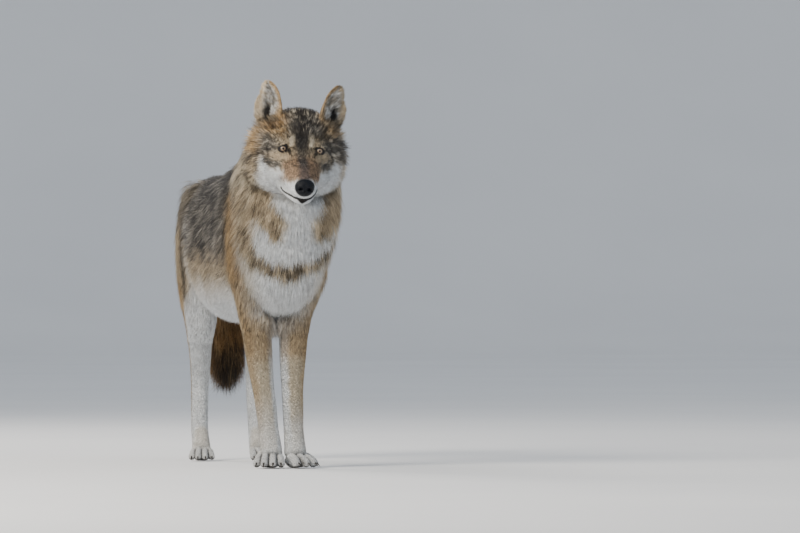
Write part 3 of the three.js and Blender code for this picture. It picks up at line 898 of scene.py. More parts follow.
@dataclass(frozen=True)
class LegPelt(Pelt):
    """Long hair over shoulder or thigh, running out to short hair down the shank."""

    kind: str
    sign: int

    def lie(self, at: Whereabouts) -> Array:
        """Down the leg, a little to the rear."""
        back = np.tile(np.array([0.0, 0.3, 0.0]), (len(at.share), 1))
        return at.forward + back

    def hair(self, at: Whereabouts) -> tuple[Array, Array, Array]:
        """By height above the floor."""
        z = body_mm(at.points)[:, 2]
        heights = {"fore": [0, 100, 250, 320, 380, 460, 560], "hind": [0, 100, 200, 280, 360, 430, 520]}
        length = np.interp(z, heights[self.kind], [7, 8, 10, 14, 24, 38, 48])
        lift = np.interp(length, [7, 14, 30, 48], [14, 16, 20, 22])
        density = np.interp(length, [7, 12, 18, 26, 48], [26, 24, 20, 14, 12])
        return length * MM, lift, density

    def paint(self, at: Whereabouts) -> Paint:
        """Tan in front and outside, white inside, with a fleck stripe down the front of a foreleg."""
        p = body_mm(at.points)
        z = p[:, 2] + wobble(p, 26.0, 31, 24.0)
        outward = np.cos(at.angle) * self.sign + wobble(p, 20.0, 32, 0.25)
        ahead = np.sin(at.angle)
        count = len(z)
        if self.kind == "fore":
            paint = Paint.flat(count, Shade.SAND, 0.12)
            paint.lay(Shade.TAN, 0.2, smoothstep(0.3, 0.9, outward) * 0.5)
            paint.lay(Shade.TAN, 0.4, smoothstep(400.0, 470.0, z) * smoothstep(0.2, 0.7, outward))
            paint.lay(Shade.GREY, 0.66, smoothstep(470.0, 560.0, z) * fall(-0.7, -0.4, ahead) * 0.7)
            inner = smoothstep(0.15, -0.35, outward) * smoothstep(370.0, 420.0, z)
            paint.lay(Shade.WHITE, 0.0, np.maximum(inner, fall(-0.9, -0.5, outward - 0.2 * ahead)))
            paint.lay(Shade.TAN, 0.36, between(290.0, 390.0, 60.0, z) * smoothstep(-0.2, 0.5, ahead) * 0.6)
            specks = flecks(p, 4.0, 33, 0.66, 0.74) * between(330.0, 430.0, 30.0, z)
            paint.lay(Shade.CHARCOAL, 0.8, specks * 0.6)
            paint.lay(Shade.WHITE, 0.04, fall(40.0, 200.0, z) * 0.7)
            return paint
        paint = Paint.flat(count, Shade.BEIGE, 0.34)
        paint.lay(Shade.GREY, 0.5, smoothstep(540.0, 620.0, z) * 0.8)
        paint.lay(Shade.TAN, 0.3, between(330.0, 440.0, 50.0, z) * fall(-0.2, 0.6, ahead) * 0.8)
        # Charcoal down the front of the thigh where it meets the flank: painted shade of that crease.
        crease_shade = spot(ahead, z, (0.62, 500.0), (0.16, 110.0), 0.5) * smoothstep(0.2, 0.5, outward)
        paint.lay(Shade.CHARCOAL, 0.85, crease_shade * 0.8)
        paint.lay(Shade.WHITE, 0.02, fall(-0.3, 0.35, outward - 0.5 * ahead) * fall(560.0, 640.0, z))
        paint.lay(Shade.WHITE, 0.02, smoothstep(-0.1, 0.4, ahead) * fall(380.0, 430.0, z))
        paint.lay(Shade.WHITE, 0.04, fall(70.0, 200.0, z) * 0.7)
        return paint


@dataclass(frozen=True)
class PawPelt(Pelt):
    """Very short pale hair, darker between the toes and under the foot."""

    place: Place

    def hair(self, at: Whereabouts) -> tuple[Array, Array, Array]:
        """Short everywhere."""
        length = 7.0 - 2.0 * smoothstep(0.3, 0.6, at.share)
        return length * MM, 13.0 + 0 * length, 24.0 + 0 * length

    def paint(self, at: Whereabouts) -> Paint:
        """Cream, with charcoal between and under the toes."""
        paint = Paint.flat(len(at.share), Shade.CREAM, 0.03)
        paint.lay(Shade.WHITE, 0.0, 0.5 + 0.5 * smoothstep(0.3, 0.6, at.share))
        paint.lay(Shade.SILVER, 0.0, 0.3 * smoothstep(0.2, 0.5, at.share))
        paint.lay(Shade.CHARCOAL, 0.6, toe_clefts(self.place.back(at.points)) * 0.7)
        return paint.lay(Shade.CHARCOAL, 0.6, fall(4.0, 9.0, body_mm(at.points)[:, 2]) * 0.9)


class TailPelt(Pelt):
    """A bushy brush: brown with a black heart and tip."""

    def lie(self, at: Whereabouts) -> Array:
        """Along the tail, standing out a little."""
        outward = at.out * np.cos(at.angle)[:, None] + at.front * np.sin(at.angle)[:, None]
        return at.forward + 0.1 * outward

    def hair(self, at: Whereabouts) -> tuple[Array, Array, Array]:
        """Longest towards the tip."""
        length = 48.0 + 26.0 * smoothstep(0.1, 0.8, at.share)
        return length * MM, 27.0 + 0 * length, 22.0 + 0 * length

    def paint(self, at: Whereabouts) -> Paint:
        """Grey-brown at the root, brown below, black at the tip."""
        p = body_mm(at.points)
        flow = p * np.array([1.0, 1.0, 0.22])
        along = at.share + wobble(flow, 14.0, 41, 0.16)
        paint = Paint.flat(len(along), Shade.BROWN, 0.32)
        rear = 0.8 * smoothstep(432.0, 470.0, p[:, 1])
        paint.lay(Shade.GREY, 0.62, np.maximum(fall(0.1, 0.3, along), rear))
        heart = 1.0 - 0.65 * smoothstep(0.4, 0.9, np.abs(np.cos(at.angle)))
        paint.lay(Shade.BLACK, 0.9, smoothstep(0.78, 0.88, along) * heart * 0.9)
        paint.lay(Shade.BLACK, 0.9, flecks(flow, 9.0, 42, 0.6, 0.7) * 0.7)
        paint.lay(Shade.TAN, 0.3, flecks(flow, 8.0, 43, 0.6, 0.7) * 0.6)
        return paint


PELTS: tuple[tuple[Limb, Pelt], ...] = (
    (TRUNK_LIMB, TrunkPelt()),
    (NECK_LIMB, NeckPelt()),
    (SKULL_LIMB, HeadPelt()),
    (JAW_LIMB, HeadPelt()),
    *zip(EAR_LIMBS, map(EarPelt, SIDE_NAMES)),
    *((limb, LegPelt(kind, sign)) for limb, (kind, sign) in zip(LEG_LIMBS, LEGS)),
    *((limb, PawPelt(limb.place)) for limb in PAW_LIMBS),
    (TAIL_LIMB, TailPelt()),
)
EVEN_MIX = 0.10  # how far one limb's coat runs on into its neighbour's
LEAST_SAY = 0.02  # a limb with less of a say than this has none


def survey(points: Array) -> tuple[Coat, Array, list[Whereabouts]]:
    """The coat at each point, blended from the limbs that it lies on.

    A limb's say is e to the power of minus its extra nearness over EVEN_MIX, so the limb whose surface
    the point is on has most of it.

    Args:
        points: Places on the skin.

    Returns:
        The coat, the number of the limb that each point belongs to, and where it lies on each limb.
    """
    places = [limb.locate(points) for limb, _ in PELTS]
    nearness = np.stack([place.nearness for place in places])
    nearness[0] += fall(-340.0, -250.0, body_mm(points)[:, 1])  # the mane runs on over the breast
    say = np.exp(-(nearness - nearness.min(0)) / EVEN_MIX)
    say = np.where(say < LEAST_SAY, 0.0, say)
    say /= say.sum(0)
    coat = Coat.blank(len(points))
    for (_, pelt), place, share in zip(PELTS, places, say):
        own = pelt.coat(place)
        coat.lie += unit(own.lie) * share[:, None]
        coat.length += own.length * share
        coat.lift += own.lift * share
        coat.density += own.density * share
        coat.paint.base += own.paint.base * share[:, None]
        coat.paint.dark += own.paint.dark * share
    return coat, say.argmax(0), places


# ---- Materials ---------------------------------------------------------------------------------
class Nodes:
    """A small helper that adds and joins the nodes of one material."""

    def __init__(self, name: str) -> None:
        """Starts a material with an empty tree and a main shader."""
        self.material = bpy.data.materials.new(name)
        self.material.use_nodes = True
        self.tree = self.material.node_tree
        self.shader = self.tree.nodes["Principled BSDF"]

    def add(self, kind: str, **settings: object) -> bpy.types.Node:
        """Adds a node of a kind and sets its properties or, by name, its inputs."""
        node = self.tree.nodes.new(kind)
        for key, value in settings.items():
            if hasattr(node, key):
                setattr(node, key, value)
            else:
                node.inputs[key.replace("_", " ")].default_value = value
        return node

    def join(self, source: bpy.types.NodeSocket, target: bpy.types.NodeSocket) -> None:
        """Joins an output to an input."""
        self.tree.links.new(source, target)

    def set(self, **values: object) -> None:
        """Sets values on the main shader's own inputs."""
        for key, value in values.items():
            self.shader.inputs[key.replace("_", " ")].default_value = value

    def ramp(self, source: bpy.types.NodeSocket, stops: Stops) -> bpy.types.NodeSocket:
        """A colour ramp over an output."""
        node = self.add("ShaderNodeValToRGB")
        self.join(source, node.inputs["Fac"])
        elements = node.color_ramp.elements
        while len(elements) < len(stops):
            elements.new(0.5)
        for element, (position, colour) in zip(elements, stops):
            element.position = position
            element.color = (*colour[:3], 1.0)
        return node.outputs["Color"]

    def grain(self, scale: float, detail: float = 3.0) -> bpy.types.NodeSocket:
        """Noise over the object's own coordinates."""
        where = self.add("ShaderNodeTexCoord")
        texture = self.add("ShaderNodeTexNoise", Scale=scale, Detail=detail)
        self.join(where.outputs["Object"], texture.inputs["Vector"])
        return texture.outputs["Fac"]

    def tint(self, colour: bpy.types.NodeSocket, tone: bpy.types.NodeSocket, share: float) -> None:
        """Multiplies a colour by a tone, as far as share says, and makes it the surface's colour."""
        mix = self.add("ShaderNodeMix", data_type="RGBA", blend_type="MULTIPLY")
        mix.inputs["Factor"].default_value = share
        self.join(colour, mix.inputs["A"])
        self.join(tone, mix.inputs["B"])
        self.join(mix.outputs["Result"], self.shader.inputs["Base Color"])

    def bump(self, height: bpy.types.NodeSocket, strength: float, distance: float) -> None:
        """Raises the surface by a height output."""
        node = self.add("ShaderNodeBump", Strength=strength, Distance=distance)
        self.join(height, node.inputs["Height"])
        self.join(node.outputs["Normal"], self.shader.inputs["Normal"])


@dataclass(frozen=True)
class CoatFinish:
    """Hair or hide coloured by the piece's own paint, with a fine change of tone."""

    name: str
    roughness: float
    specular: float
    grain: float  # waves of the change of tone in a metre
    bump: float = 0.0

    def make(self) -> bpy.types.Material:
        """Builds the material."""
        nodes = Nodes(self.name)
        nodes.set(Roughness=self.roughness, Specular_IOR_Level=self.specular)
        paint = nodes.add("ShaderNodeAttribute", attribute_name="coat_paint")
        tone = nodes.ramp(nodes.grain(self.grain), ((0.3, (0.84, 0.83, 0.82)), (0.7, (1.1, 1.1, 1.1))))
        nodes.tint(paint.outputs["Color"], tone, 1.0)
        if self.bump:
            nodes.bump(nodes.grain(self.grain * 3.0), self.bump, 0.002)
        return nodes.material


@dataclass(frozen=True)
class HideFinish:
    """Bare skin or horn in one hue, with a fine grain."""

    name: str
    colour: Triple
    light: Triple  # colour in the middle of each pebble
    roughness: float
    scale: float  # pebbles in a metre
    bump: float
    gloss: float = 0.25

    def make(self) -> bpy.types.Material:
        """Builds the material: a cell pattern gives the pebbled grain and its darker creases."""
        nodes = Nodes(self.name)
        nodes.set(Roughness=self.roughness, Specular_IOR_Level=self.gloss)
        where = nodes.add("ShaderNodeTexCoord")
        cells = nodes.add("ShaderNodeTexVoronoi", Scale=self.scale)
        nodes.join(where.outputs["Object"], cells.inputs["Vector"])
        colour = nodes.ramp(cells.outputs["Distance"], ((0.0, self.light), (0.8, self.colour)))
        nodes.join(colour, nodes.shader.inputs["Base Color"])
        nodes.bump(cells.outputs["Distance"], self.bump, 0.0008)
        return nodes.material


HIDE = CoatFinish("hide", roughness=0.8, specular=0.2, grain=260.0, bump=0.5)
FUR = CoatFinish("fur", roughness=0.62, specular=0.22, grain=90.0)
LID_SKIN = HideFinish(
    "lid_skin",
    colour=(0.008, 0.007, 0.007),
    light=(0.018, 0.015, 0.014),
    roughness=0.5,
    scale=900.0,
    bump=0.4,
)
NOSE_LEATHER = HideFinish(
    "nose_leather",
    colour=(0.0016, 0.0024, 0.0045),
    light=(0.004, 0.0055, 0.009),
    roughness=0.34,
    scale=950.0,
    bump=0.6,
    gloss=0.16,
)
LIP_SKIN = HideFinish(
    "lip_skin",
    colour=(0.006, 0.005, 0.005),
    light=(0.014, 0.011, 0.011),
    roughness=0.5,
    scale=800.0,
    bump=0.4,
)
CLAW_HORN = HideFinish(
    "claw_horn",
    colour=(0.02, 0.017, 0.015),
    light=(0.05, 0.042, 0.036),
    roughness=0.35,
    scale=420.0,
    bump=0.3,
)


@dataclass(frozen=True)
class EyeFinish:
    """A wet eye: round black pupil, amber iris with fine rays, dark ring and dark white."""

    name: str = "amber_eye"

    def make(self) -> bpy.types.Material:
        """Builds the material on the eye's own map, whose second axis is the angle from the pupil."""
        nodes = Nodes(self.name)
        nodes.set(Roughness=0.3, Specular_IOR_Level=0.2, Coat_Weight=0.5, Coat_Roughness=0.02)
        where = nodes.add("ShaderNodeUVMap", uv_map="EyeMap")
        split = nodes.add("ShaderNodeSeparateXYZ")
        nodes.join(where.outputs["UV"], split.inputs["Vector"])
        rays = nodes.add("ShaderNodeTexNoise", Scale=1.0, Detail=2.0)
        stretch = nodes.add("ShaderNodeMapping")
        stretch.inputs["Scale"].default_value = (70.0, 6.0, 1.0)
        nodes.join(where.outputs["UV"], stretch.inputs["Vector"])
        nodes.join(stretch.outputs["Vector"], rays.inputs["Vector"])
        amber, gold = linear(118, 100, 82), linear(148, 128, 108)
        stops = (
            (0.0, (0.001, 0.001, 0.001)),
            (0.062, (0.001, 0.001, 0.001)),
            (0.07, tuple(gold)),
            (0.13, tuple(amber)),
            (0.162, tuple(amber * 0.4)),
            (0.178, (0.005, 0.004, 0.004)),
            (0.4, tuple(linear(60, 44, 38))),
        )
        colour = nodes.ramp(split.outputs["Y"], stops)
        tone = nodes.ramp(rays.outputs["Fac"], ((0.3, (0.6, 0.55, 0.5)), (0.65, (1.15, 1.15, 1.1))))
        nodes.tint(colour, tone, 0.8)
        return nodes.material


# ---- Meshes ------------------------------------------------------------------------------------
def make_mesh(name: str, points: Array, corners: Faces, counts: Faces) -> bpy.types.Mesh:
    """A mesh from whole arrays.

    Args:
        name: The mesh's name.
        points: One row for each point.
        corners: The point numbers of every face, one after the other.
        counts: How many corners each face has.

    Returns:
        The mesh.
    """
    mesh = bpy.data.meshes.new(name)
    mesh.vertices.add(len(points))
    mesh.vertices.foreach_set("co", points.astype(np.float32).ravel())
    mesh.loops.add(len(corners))
    mesh.loops.foreach_set("vertex_index", corners.astype(np.int32))
    mesh.polygons.add(len(counts))
    starts = np.concatenate([[0], np.cumsum(counts)[:-1]])
    mesh.polygons.foreach_set("loop_start", starts.astype(np.int32))
    mesh.polygons.foreach_set("use_smooth", np.ones(len(counts), dtype=bool))
    mesh.update(calc_edges=True)
    return mesh


def add_object(mesh: bpy.types.Mesh, material: bpy.types.Material | None = None) -> bpy.types.Object:
    """Puts a mesh into the scene."""
    if material is not None:
        mesh.materials.append(material)
    piece = bpy.data.objects.new(mesh.name, mesh)
    bpy.context.scene.collection.objects.link(piece)
    return piece


def paint_mesh(mesh: bpy.types.Mesh, colours: Array) -> None:
    """Stores one colour for each point as the coat's paint."""
    layer = mesh.color_attributes.new("coat_paint", "FLOAT_COLOR", "POINT")
    opaque = np.column_stack([colours, np.ones(len(colours))])
    layer.data.foreach_set("color", opaque.astype(np.float32).ravel())


def read_points(mesh: bpy.types.Mesh) -> Array:
    """A mesh's points."""
    points = np.empty(len(mesh.vertices) * 3, dtype=np.float32)
    mesh.vertices.foreach_get("co", points)
    return points.reshape(-1, 3).astype(float)


def read_triangles(mesh: bpy.types.Mesh) -> Faces:
    """A mesh's faces, split into triangles."""
    mesh.calc_loop_triangles()
    triangles = np.empty(len(mesh.loop_triangles) * 3, dtype=np.int32)
    mesh.loop_triangles.foreach_get("vertices", triangles)
    return triangles.reshape(-1, 3).astype(np.int64)


def quads(faces: Faces) -> tuple[Faces, Faces]:
    """Rows of four corners as one list of corners and one of counts."""
    return faces.ravel(), np.full(len(faces), 4)


def closed_tube(points: Array, rows: int, around: int) -> Shape:
    """Quads between rings, with one face over each end ring, so that the tube is closed."""
    body = tube_faces(rows, around)
    first = np.arange(around)
    last = (rows - 1) * around + np.arange(around)[::-1]
    corners = np.concatenate([body.ravel(), first, last])
    counts = np.concatenate([np.full(len(body), 4), [around, around]])
    return points, corners, counts


def join_shapes(shapes: list[Shape]) -> Shape:
    """Several shapes as one."""
    offsets = np.cumsum([0] + [len(points) for points, _, _ in shapes[:-1]])
    points = np.concatenate([shape[0] for shape in shapes])
    corners = np.concatenate([shape[1] + offset for shape, offset in zip(shapes, offsets)])
    counts = np.concatenate([shape[2] for shape in shapes])
    return points, corners, counts


def finish_piece(piece: bpy.types.Object, slot: str, *nodes: str) -> bpy.types.Object:
    """Hangs a piece on the body and, where it stands for CAD nodes, hides them."""
    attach(piece, "root")
    if nodes:
        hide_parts(*nodes)
    log.info("%s: %d faces", piece.name, len(piece.data.polygons))
    return piece


# ---- The skin ----------------------------------------------------------------------------------
@dataclass(frozen=True)
class Lens:
    """A magnifying stretch of space about a point, so that one remesh is finest there.

    A point at distance r moves out to r + push * tanh(r / reach).
    """

    middle: Array
    push: float
    reach: float

    def spread(self, points: Array) -> Array:
        """Moves points outwards."""
        away = points - self.middle
        r = np.maximum(np.linalg.norm(away, axis=1), 1e-9)
        return self.middle + away * ((r + self.push * np.tanh(r / self.reach)) / r)[:, None]

    def gather(self, points: Array) -> Array:
        """Moves them back, by looking the distance up in a table of spread ones."""
        away = points - self.middle
        far = np.maximum(np.linalg.norm(away, axis=1), 1e-9)
        table = np.linspace(0.0, 3.0, 6000)
        r = np.interp(far, table + self.push * np.tanh(table / self.reach), table)
        return self.middle + away * (r / far)[:, None]


PAIRED_NODES = ("ear", "shoulder", "foreleg", "forepaw", "thigh", "hindleg", "hindpaw")
FLESH_NODES = (
    *("trunk", "neck", "head", "jaw", "tail"),
    *(f"{node}_{side}" for node in PAIRED_NODES for side in SIDE_NAMES.values()),
)


@dataclass
class Skin:
    """The one skin under the whole coat."""

    voxel: float = 8.6 * MM
    smoothing: int = 26  # rounds of evening out
    even_rounds: int = 4  # how many of them work on all of the skin alike
    sole: float = 0.0012  # height of the skin's lowest points
    # Painted shade: the skin is painted darker than the hair over it, for the shade among the roots.
    shade_among_roots: float = 0.62  # how light the skin is against the hair over it
    shading: float = 0.75  # share of the dark hairs that it shows
    thinned: float = 0.7  # share of the triangles kept, the flattest going first

    def shells(self) -> list[Shape]:
        """Every limb's closed shell, inside the coat."""
        limbs = [TRUNK_LIMB, NECK_LIMB, SKULL_LIMB, JAW_LIMB, *EAR_LIMBS, *LEG_LIMBS, TAIL_LIMB]
        for foot in FEET:
            limbs += toe_limbs(foot)
        return [limb.shell() for limb in limbs]

    def lenses(self) -> list[Lens]:
        """Where the remesh should be finest: the face, the ears and the feet. Each lens stands where the
        ones before it have moved its own middle to."""
        # Each row: a place, a point in it, push and reach.
        wanted = [(HEAD, (0.0, -20.0, -10.0), 0.30, 0.115)]
        wanted += [(HEAD, (sign * 85.0, 88.0, 100.0), 0.08, 0.07) for sign in SIDE_NAMES]
        wanted += [(foot_place(foot), (0.0, -38.0, 16.0), 0.07, 0.045) for foot in FEET]
        lenses: list[Lens] = []
        for place, middle, push, reach in wanted:
            moved = place.points(np.array([middle]))
            for lens in lenses:
                moved = lens.spread(moved)
            lenses.append(Lens(moved[0], push, reach))
        return lenses

    def fuse(self) -> tuple[Array, Faces]:
        """Joins the shells into one surface of even quads, finest at the face.

        Returns:
            The points, and the faces as rows of four corners.
        """
        lenses = self.lenses()
        points, corners, counts = join_shapes(self.shells())
        for lens in lenses:
            points = lens.spread(points)
        mesh = make_mesh("flesh", points, corners, counts)
        flesh = add_object(mesh)
        remesh = flesh.modifiers.new("remesh", "REMESH")
        remesh.mode = "VOXEL"
        remesh.voxel_size = self.voxel
        graph = bpy.context.evaluated_depsgraph_get()
        fused = bpy.data.meshes.new_from_object(flesh.evaluated_get(graph))
        bpy.data.objects.remove(flesh)
        points = read_points(fused)
        loops = np.empty(len(fused.loops), dtype=np.int32)
        fused.loops.foreach_get("vertex_index", loops)
        bpy.data.meshes.remove(fused)
        for lens in reversed(lenses):
            points = lens.gather(points)
        return points, loops.reshape(-1, 4).astype(np.int64)

    def relax(self, points: Array, faces: Faces) -> Array:
        """Evens the surface out: each point moves towards the middle of its neighbours, time after time.

        The trunk, neck and tops of the legs are evened most, so that they run into each other.
        """
        edges = np.concatenate([faces[:, [0, 1]], faces[:, [1, 2]], faces[:, [2, 3]], faces[:, [3, 0]]])
        edges = np.unique(np.sort(edges, axis=1), axis=0)
        count = len(points)
        ends = np.concatenate([edges[:, 0], edges[:, 1]])
        others = np.concatenate([edges[:, 1], edges[:, 0]])
        degree = np.bincount(ends, minlength=count)[:, None]
        local = body_mm(points)
        head = HEAD.back(points)
        strength = smoothstep(250.0, 420.0, local[:, 2])
        strength *= np.where(head[:, 1] < 150.0, smoothstep(60.0, 130.0, head[:, 1]), 1.0)
        keep = 0.12 + 0.8 * strength
        for step in range(self.smoothing):
            sums = [np.bincount(ends, points[others, axis], count) for axis in range(3)]
            pull = np.stack(sums, axis=1) / degree
            rate = keep if step >= self.even_rounds else np.maximum(keep, 0.5)
            points = points + (pull - points) * (0.6 * rate)[:, None]
        return points

    def sculpt(self, points: Array) -> Array:
        """Models the face and the toes: brows, cheekbones, the lids' mounds, the lip line and the clefts.

        Bulges and grooves are bell curves along the head's own directions. Around an eye, points are kept
        outside the ball by the thickness of a lid, and inside the slit they are drawn behind it.
        """
        head = HEAD.back(points)
        side, h = np.abs(head[:, 0]), face_height(head)
        facing = fall(10.0, 60.0, head[:, 1])
        brow = spot(side, h, (35.0, 17.0), (22.0, 11.0), 0.9) * facing
        cheekbone = spot(side, h, (70.0, -16.0), (26.0, 16.0), 0.9) * facing
        furrow = np.exp(-((head[:, 0] / 9.0) ** 2)) * between(6.0, 60.0, 20.0, h) * facing
        socket = spot(side, h, (46.0, 1.0), (26.0, 19.0), 0.9) * facing
        head[:, 1] -= 3.0 * brow + 3.5 * cheekbone + 4.5 * socket - 2.5 * furrow
        head[:, 0] += np.sign(head[:, 0]) * 3.0 * socket
        snout = fall(-60.0, -36.0, head[:, 1])
        lip = np.exp(-(((head[:, 2] + 81.0) / 3.0) ** 2)) * snout
        head[:, 0] -= np.sign(head[:, 0]) * 2.2 * lip * smoothstep(3.0, 12.0, side)
        for sign in SIDE_NAMES:
            eye = Eye(sign)
            away = head - eye.centre()
            far = np.maximum(np.linalg.norm(away, axis=1), 1e-6)
            slit, ahead = eye.slit(away)
            outside = smoothstep(1.12, 1.32, slit)
            mound = eye.radius + 1.0 + 1.8 * fall(1.5, 2.8, slit)
            raised = np.maximum(far, mound)
            sunk = np.minimum(far, eye.radius - 2.5)
            wanted = sunk + (raised - sunk) * outside
            near = (ahead > -3.0) & (far < 34.0)
            head += np.where(near[:, None], away * (wanted / far - 1.0)[:, None], 0.0)
        points = HEAD.points(head)
        for foot in FEET:
            place = foot_place(foot)
            local = place.back(points)
            cleft = toe_clefts(local)
            local[:, 1] += 4.5 * cleft
            local[:, 2] -= 3.0 * cleft * smoothstep(6.0, 16.0, local[:, 2])
            points = place.points(local)
        return points

    def build(self) -> bpy.types.Object:
        """Makes the skin, paints it and lets it stand for the flesh."""
        points, faces = self.fuse()
        points = self.sculpt(self.relax(points, faces))
        points = np.column_stack([points[:, :2], np.maximum(points[:, 2], self.sole)])
        self.points = points
        mesh = make_mesh("skin", points, *quads(faces))
        self.coat, _, _ = survey(points)
        paint = self.coat.paint
        darkness = (self.shading * paint.dark)[:, None]
        tone = paint.base * (1.0 - darkness) + Shade.BLACK.light() * darkness
        # The skin's colour is darkened as painted shade among the hair roots.
        paint_mesh(mesh, tone * self.shade_among_roots)
        piece = add_object(mesh, HIDE.make())
        piece.modifiers.new("thin", "DECIMATE").ratio = self.thinned
        self.mesh = mesh
        return finish_piece(piece, "saddle_coat", *FLESH_NODES)


# ---- The coat ----------------------------------------------------------------------------------
@dataclass(frozen=True)
class Patch:
    """One piece of the coat: the limbs it covers, which share of them, and the name of its finish slot."""

    name: str
    limbs: tuple[str, ...]
    slot: str
    half: int = 0  # 1 for the left half, -1 for the right half, 0 for both


def halves(part: str, limbs: tuple[str, ...], slot: str) -> list[Patch]:
    """The left and right half of one part of the coat."""
    return [Patch(f"coat_{part}_{side}", limbs, slot, sign) for sign, side in SIDE_NAMES.items()]


PATCHES = (
    *halves("face", ("skull", "jaw"), "face_coat"),
    Patch("coat_ears", tuple(limb.name for limb in EAR_LIMBS), "ear_coat"),
    *halves("mane", ("neck",), "mane_coat"),
    *halves("flank", ("trunk",), "saddle_coat"),
    *(Patch(f"coat_{limb.name}", (limb.name,), "leg_coat") for limb in LEG_LIMBS),
    Patch("coat_paws", tuple(limb.name for limb in PAW_LIMBS), "leg_coat"),
    Patch("coat_tail", ("tail",), "tail_coat"),
)


@dataclass
class Fur:
    """The tufts over the skin."""

    skin: Skin
    seed: int = 20
    count_scale: float = 1.0
    long_from: float = 17.0 * MM  # a longer hair bends, a shorter one is straight
    layers: float = 4.2  # how many tufts lie over each other at any place
    thinnest: float = 0.9 * MM  # the least width of a tuft
    widest: float = 2.6 * MM  # the most
    veer: float = 0.16  # spread of a tuft's direction about the coat's lie, in radians
    roll: float = 0.7  # the most that a tuft is rolled about its own length, in radians
    droop: float = 0.10  # how far the longest tufts sink by their weight
    root_depth: float = 0.8 * MM  # how deep in the skin a root lies
    floor_gap: float = 0.3 * MM
    lock_size: float = 8.0 * MM
    lock_pull: float = 0.42  # how far the tufts of one lock lean together
    patch_size: float = 0.003  # size of a tuft's own spot on the map, whose width is 1

    def sow(self) -> tuple[Array, Array]:
        """Places of the roots and the skin's direction there.

        Triangles are drawn in proportion to their area times the wanted density, and a root falls
        evenly inside its triangle.
        """
        mesh = self.skin.mesh
        tris = read_triangles(mesh)
        points = read_points(mesh)
        normals = np.empty(len(mesh.vertices) * 3, dtype=np.float32)
        mesh.vertex_normals.foreach_get("vector", normals)
        normals = normals.reshape(-1, 3).astype(float)
        a, b, c = (points[tris[:, k]] for k in range(3))
        area = np.linalg.norm(np.cross(b - a, c - a), axis=1) / 2
        wanted = area * 1e4 * self.skin.coat.density[tris].mean(1) * self.count_scale
        random = np.random.default_rng(self.seed)
        total = int(wanted.sum())
        edges = np.cumsum(wanted)
        chosen = np.searchsorted(edges, (np.arange(total) + random.random(total)) / total * edges[-1])
        chosen = np.minimum(chosen, len(tris) - 1)
        u, v = random.random((2, total))
        flip = u + v > 1
        u, v = np.where(flip, 1 - u, u), np.where(flip, 1 - v, v)
        weights = np.column_stack([1 - u - v, u, v])
        roots = (points[tris[chosen]] * weights[:, :, None]).sum(1)
        upward = unit((normals[tris[chosen]] * weights[:, :, None]).sum(1))
        return roots, upward

    def bare(self, roots: Array) -> Array:
        """True where nothing grows: the eyes' openings, the nose, the lower lip and under the soles."""
        head = HEAD.back(roots)
        bare = roots[:, 2] < 3 * MM
        for sign in SIDE_NAMES:
            away = head - Eye(sign).centre()
            slit, _ = Eye(sign).slit(away)
            bare |= (slit < 1.3) & (np.linalg.norm(away, axis=1) < 22.0)
        nose = (head - np.array(Nose().middle)) / (np.array(Nose().radii) + 1.0)
        bare |= np.linalg.norm(nose, axis=1) < 1.0
        lip = (head - np.array([0.0, -116.0, -85.0])) / np.array([20.0, 12.0, 8.0])
        bare |= np.linalg.norm(lip, axis=1) < 1.0
        bare |= (np.abs(head[:, 2] - lip_level(head[:, 1])) < 2.2) & (head[:, 1] < -30.0)
        return bare

    def shape(self, roots: Array, upward: Array, coat: Coat, salt: int) -> dict[str, Array]:
        """Each tuft's root, middle and tip, its width vector and its colours."""
        random = np.random.default_rng(self.seed + salt)
        count = len(roots)
        lie = unit(coat.lie - upward * (coat.lie * upward).sum(1)[:, None])
        across = np.cross(upward, lie)
        veer = random.normal(0.0, self.veer, count)
        lie = lie * np.cos(veer)[:, None] + across * np.sin(veer)[:, None]
        warped = roots + (np.stack([noise(roots, 0.03, 50 + k) for k in range(3)], axis=1) - 0.5) * 0.02
        size = np.clip(coat.length * 0.33, 0.004, self.lock_size)
        size = np.exp2(np.round(np.log2(size / 0.004))) * 0.004
        cell = np.floor(warped / size[:, None])
        astray = np.stack([scatter(cell, 60 + k) - 0.5 for k in range(3)], axis=1)
        lock = (cell + 0.5 + 0.5 * astray) * size[:, None]
        towards = lock - warped
        towards -= upward * (towards * upward).sum(1)[:, None]
        towards -= lie * (towards * lie).sum(1)[:, None] * 0.5
        length = coat.length * random.uniform(0.78, 1.18, count) * (0.88 + 0.24 * scatter(cell, 64))
        lift = coat.lift * random.uniform(0.7, 1.25, count)
        rise = lie * np.cos(lift)[:, None] + upward * np.sin(lift)[:, None]
        flat = lift * 0.35
        settle = lie * np.cos(flat)[:, None] + upward * np.sin(flat)[:, None]
        settle[:, 2] -= self.droop * np.clip(coat.length / 0.05, 0.0, 1.0)
        settle = unit(settle)
        middle = roots + rise * (0.45 * length)[:, None] + towards * (0.5 * self.lock_pull)
        tip = middle + settle * (0.55 * length)[:, None] + towards * (0.9 * self.lock_pull)
        roll = random.uniform(-self.roll, self.roll, count)
        across = np.cross(upward, unit(tip - roots))
        wide = unit(across) * np.cos(roll)[:, None] + upward * np.sin(roll)[:, None]
        dice = 0.7 * scatter(cell, 65) + 0.3 * random.random(count)
        spread = 0.08 + 0.75 * np.clip(coat.paint.dark, 0.0, 0.6)
        tone = 1.0 + spread * (random.uniform(-0.5, 0.5, count) + 1.9 * scatter(cell, 66) - 0.95)
        width = self.layers * 1e-4 / (coat.density * length * self.count_scale)
        return {
            "root": roots - upward * self.root_depth,
            "middle": middle,
            "tip": tip,
            "wide": wide,
            "up": upward,
            "width": np.clip(width, self.thinnest, self.widest),
            "dice": dice,
            "tone": tone,
        }

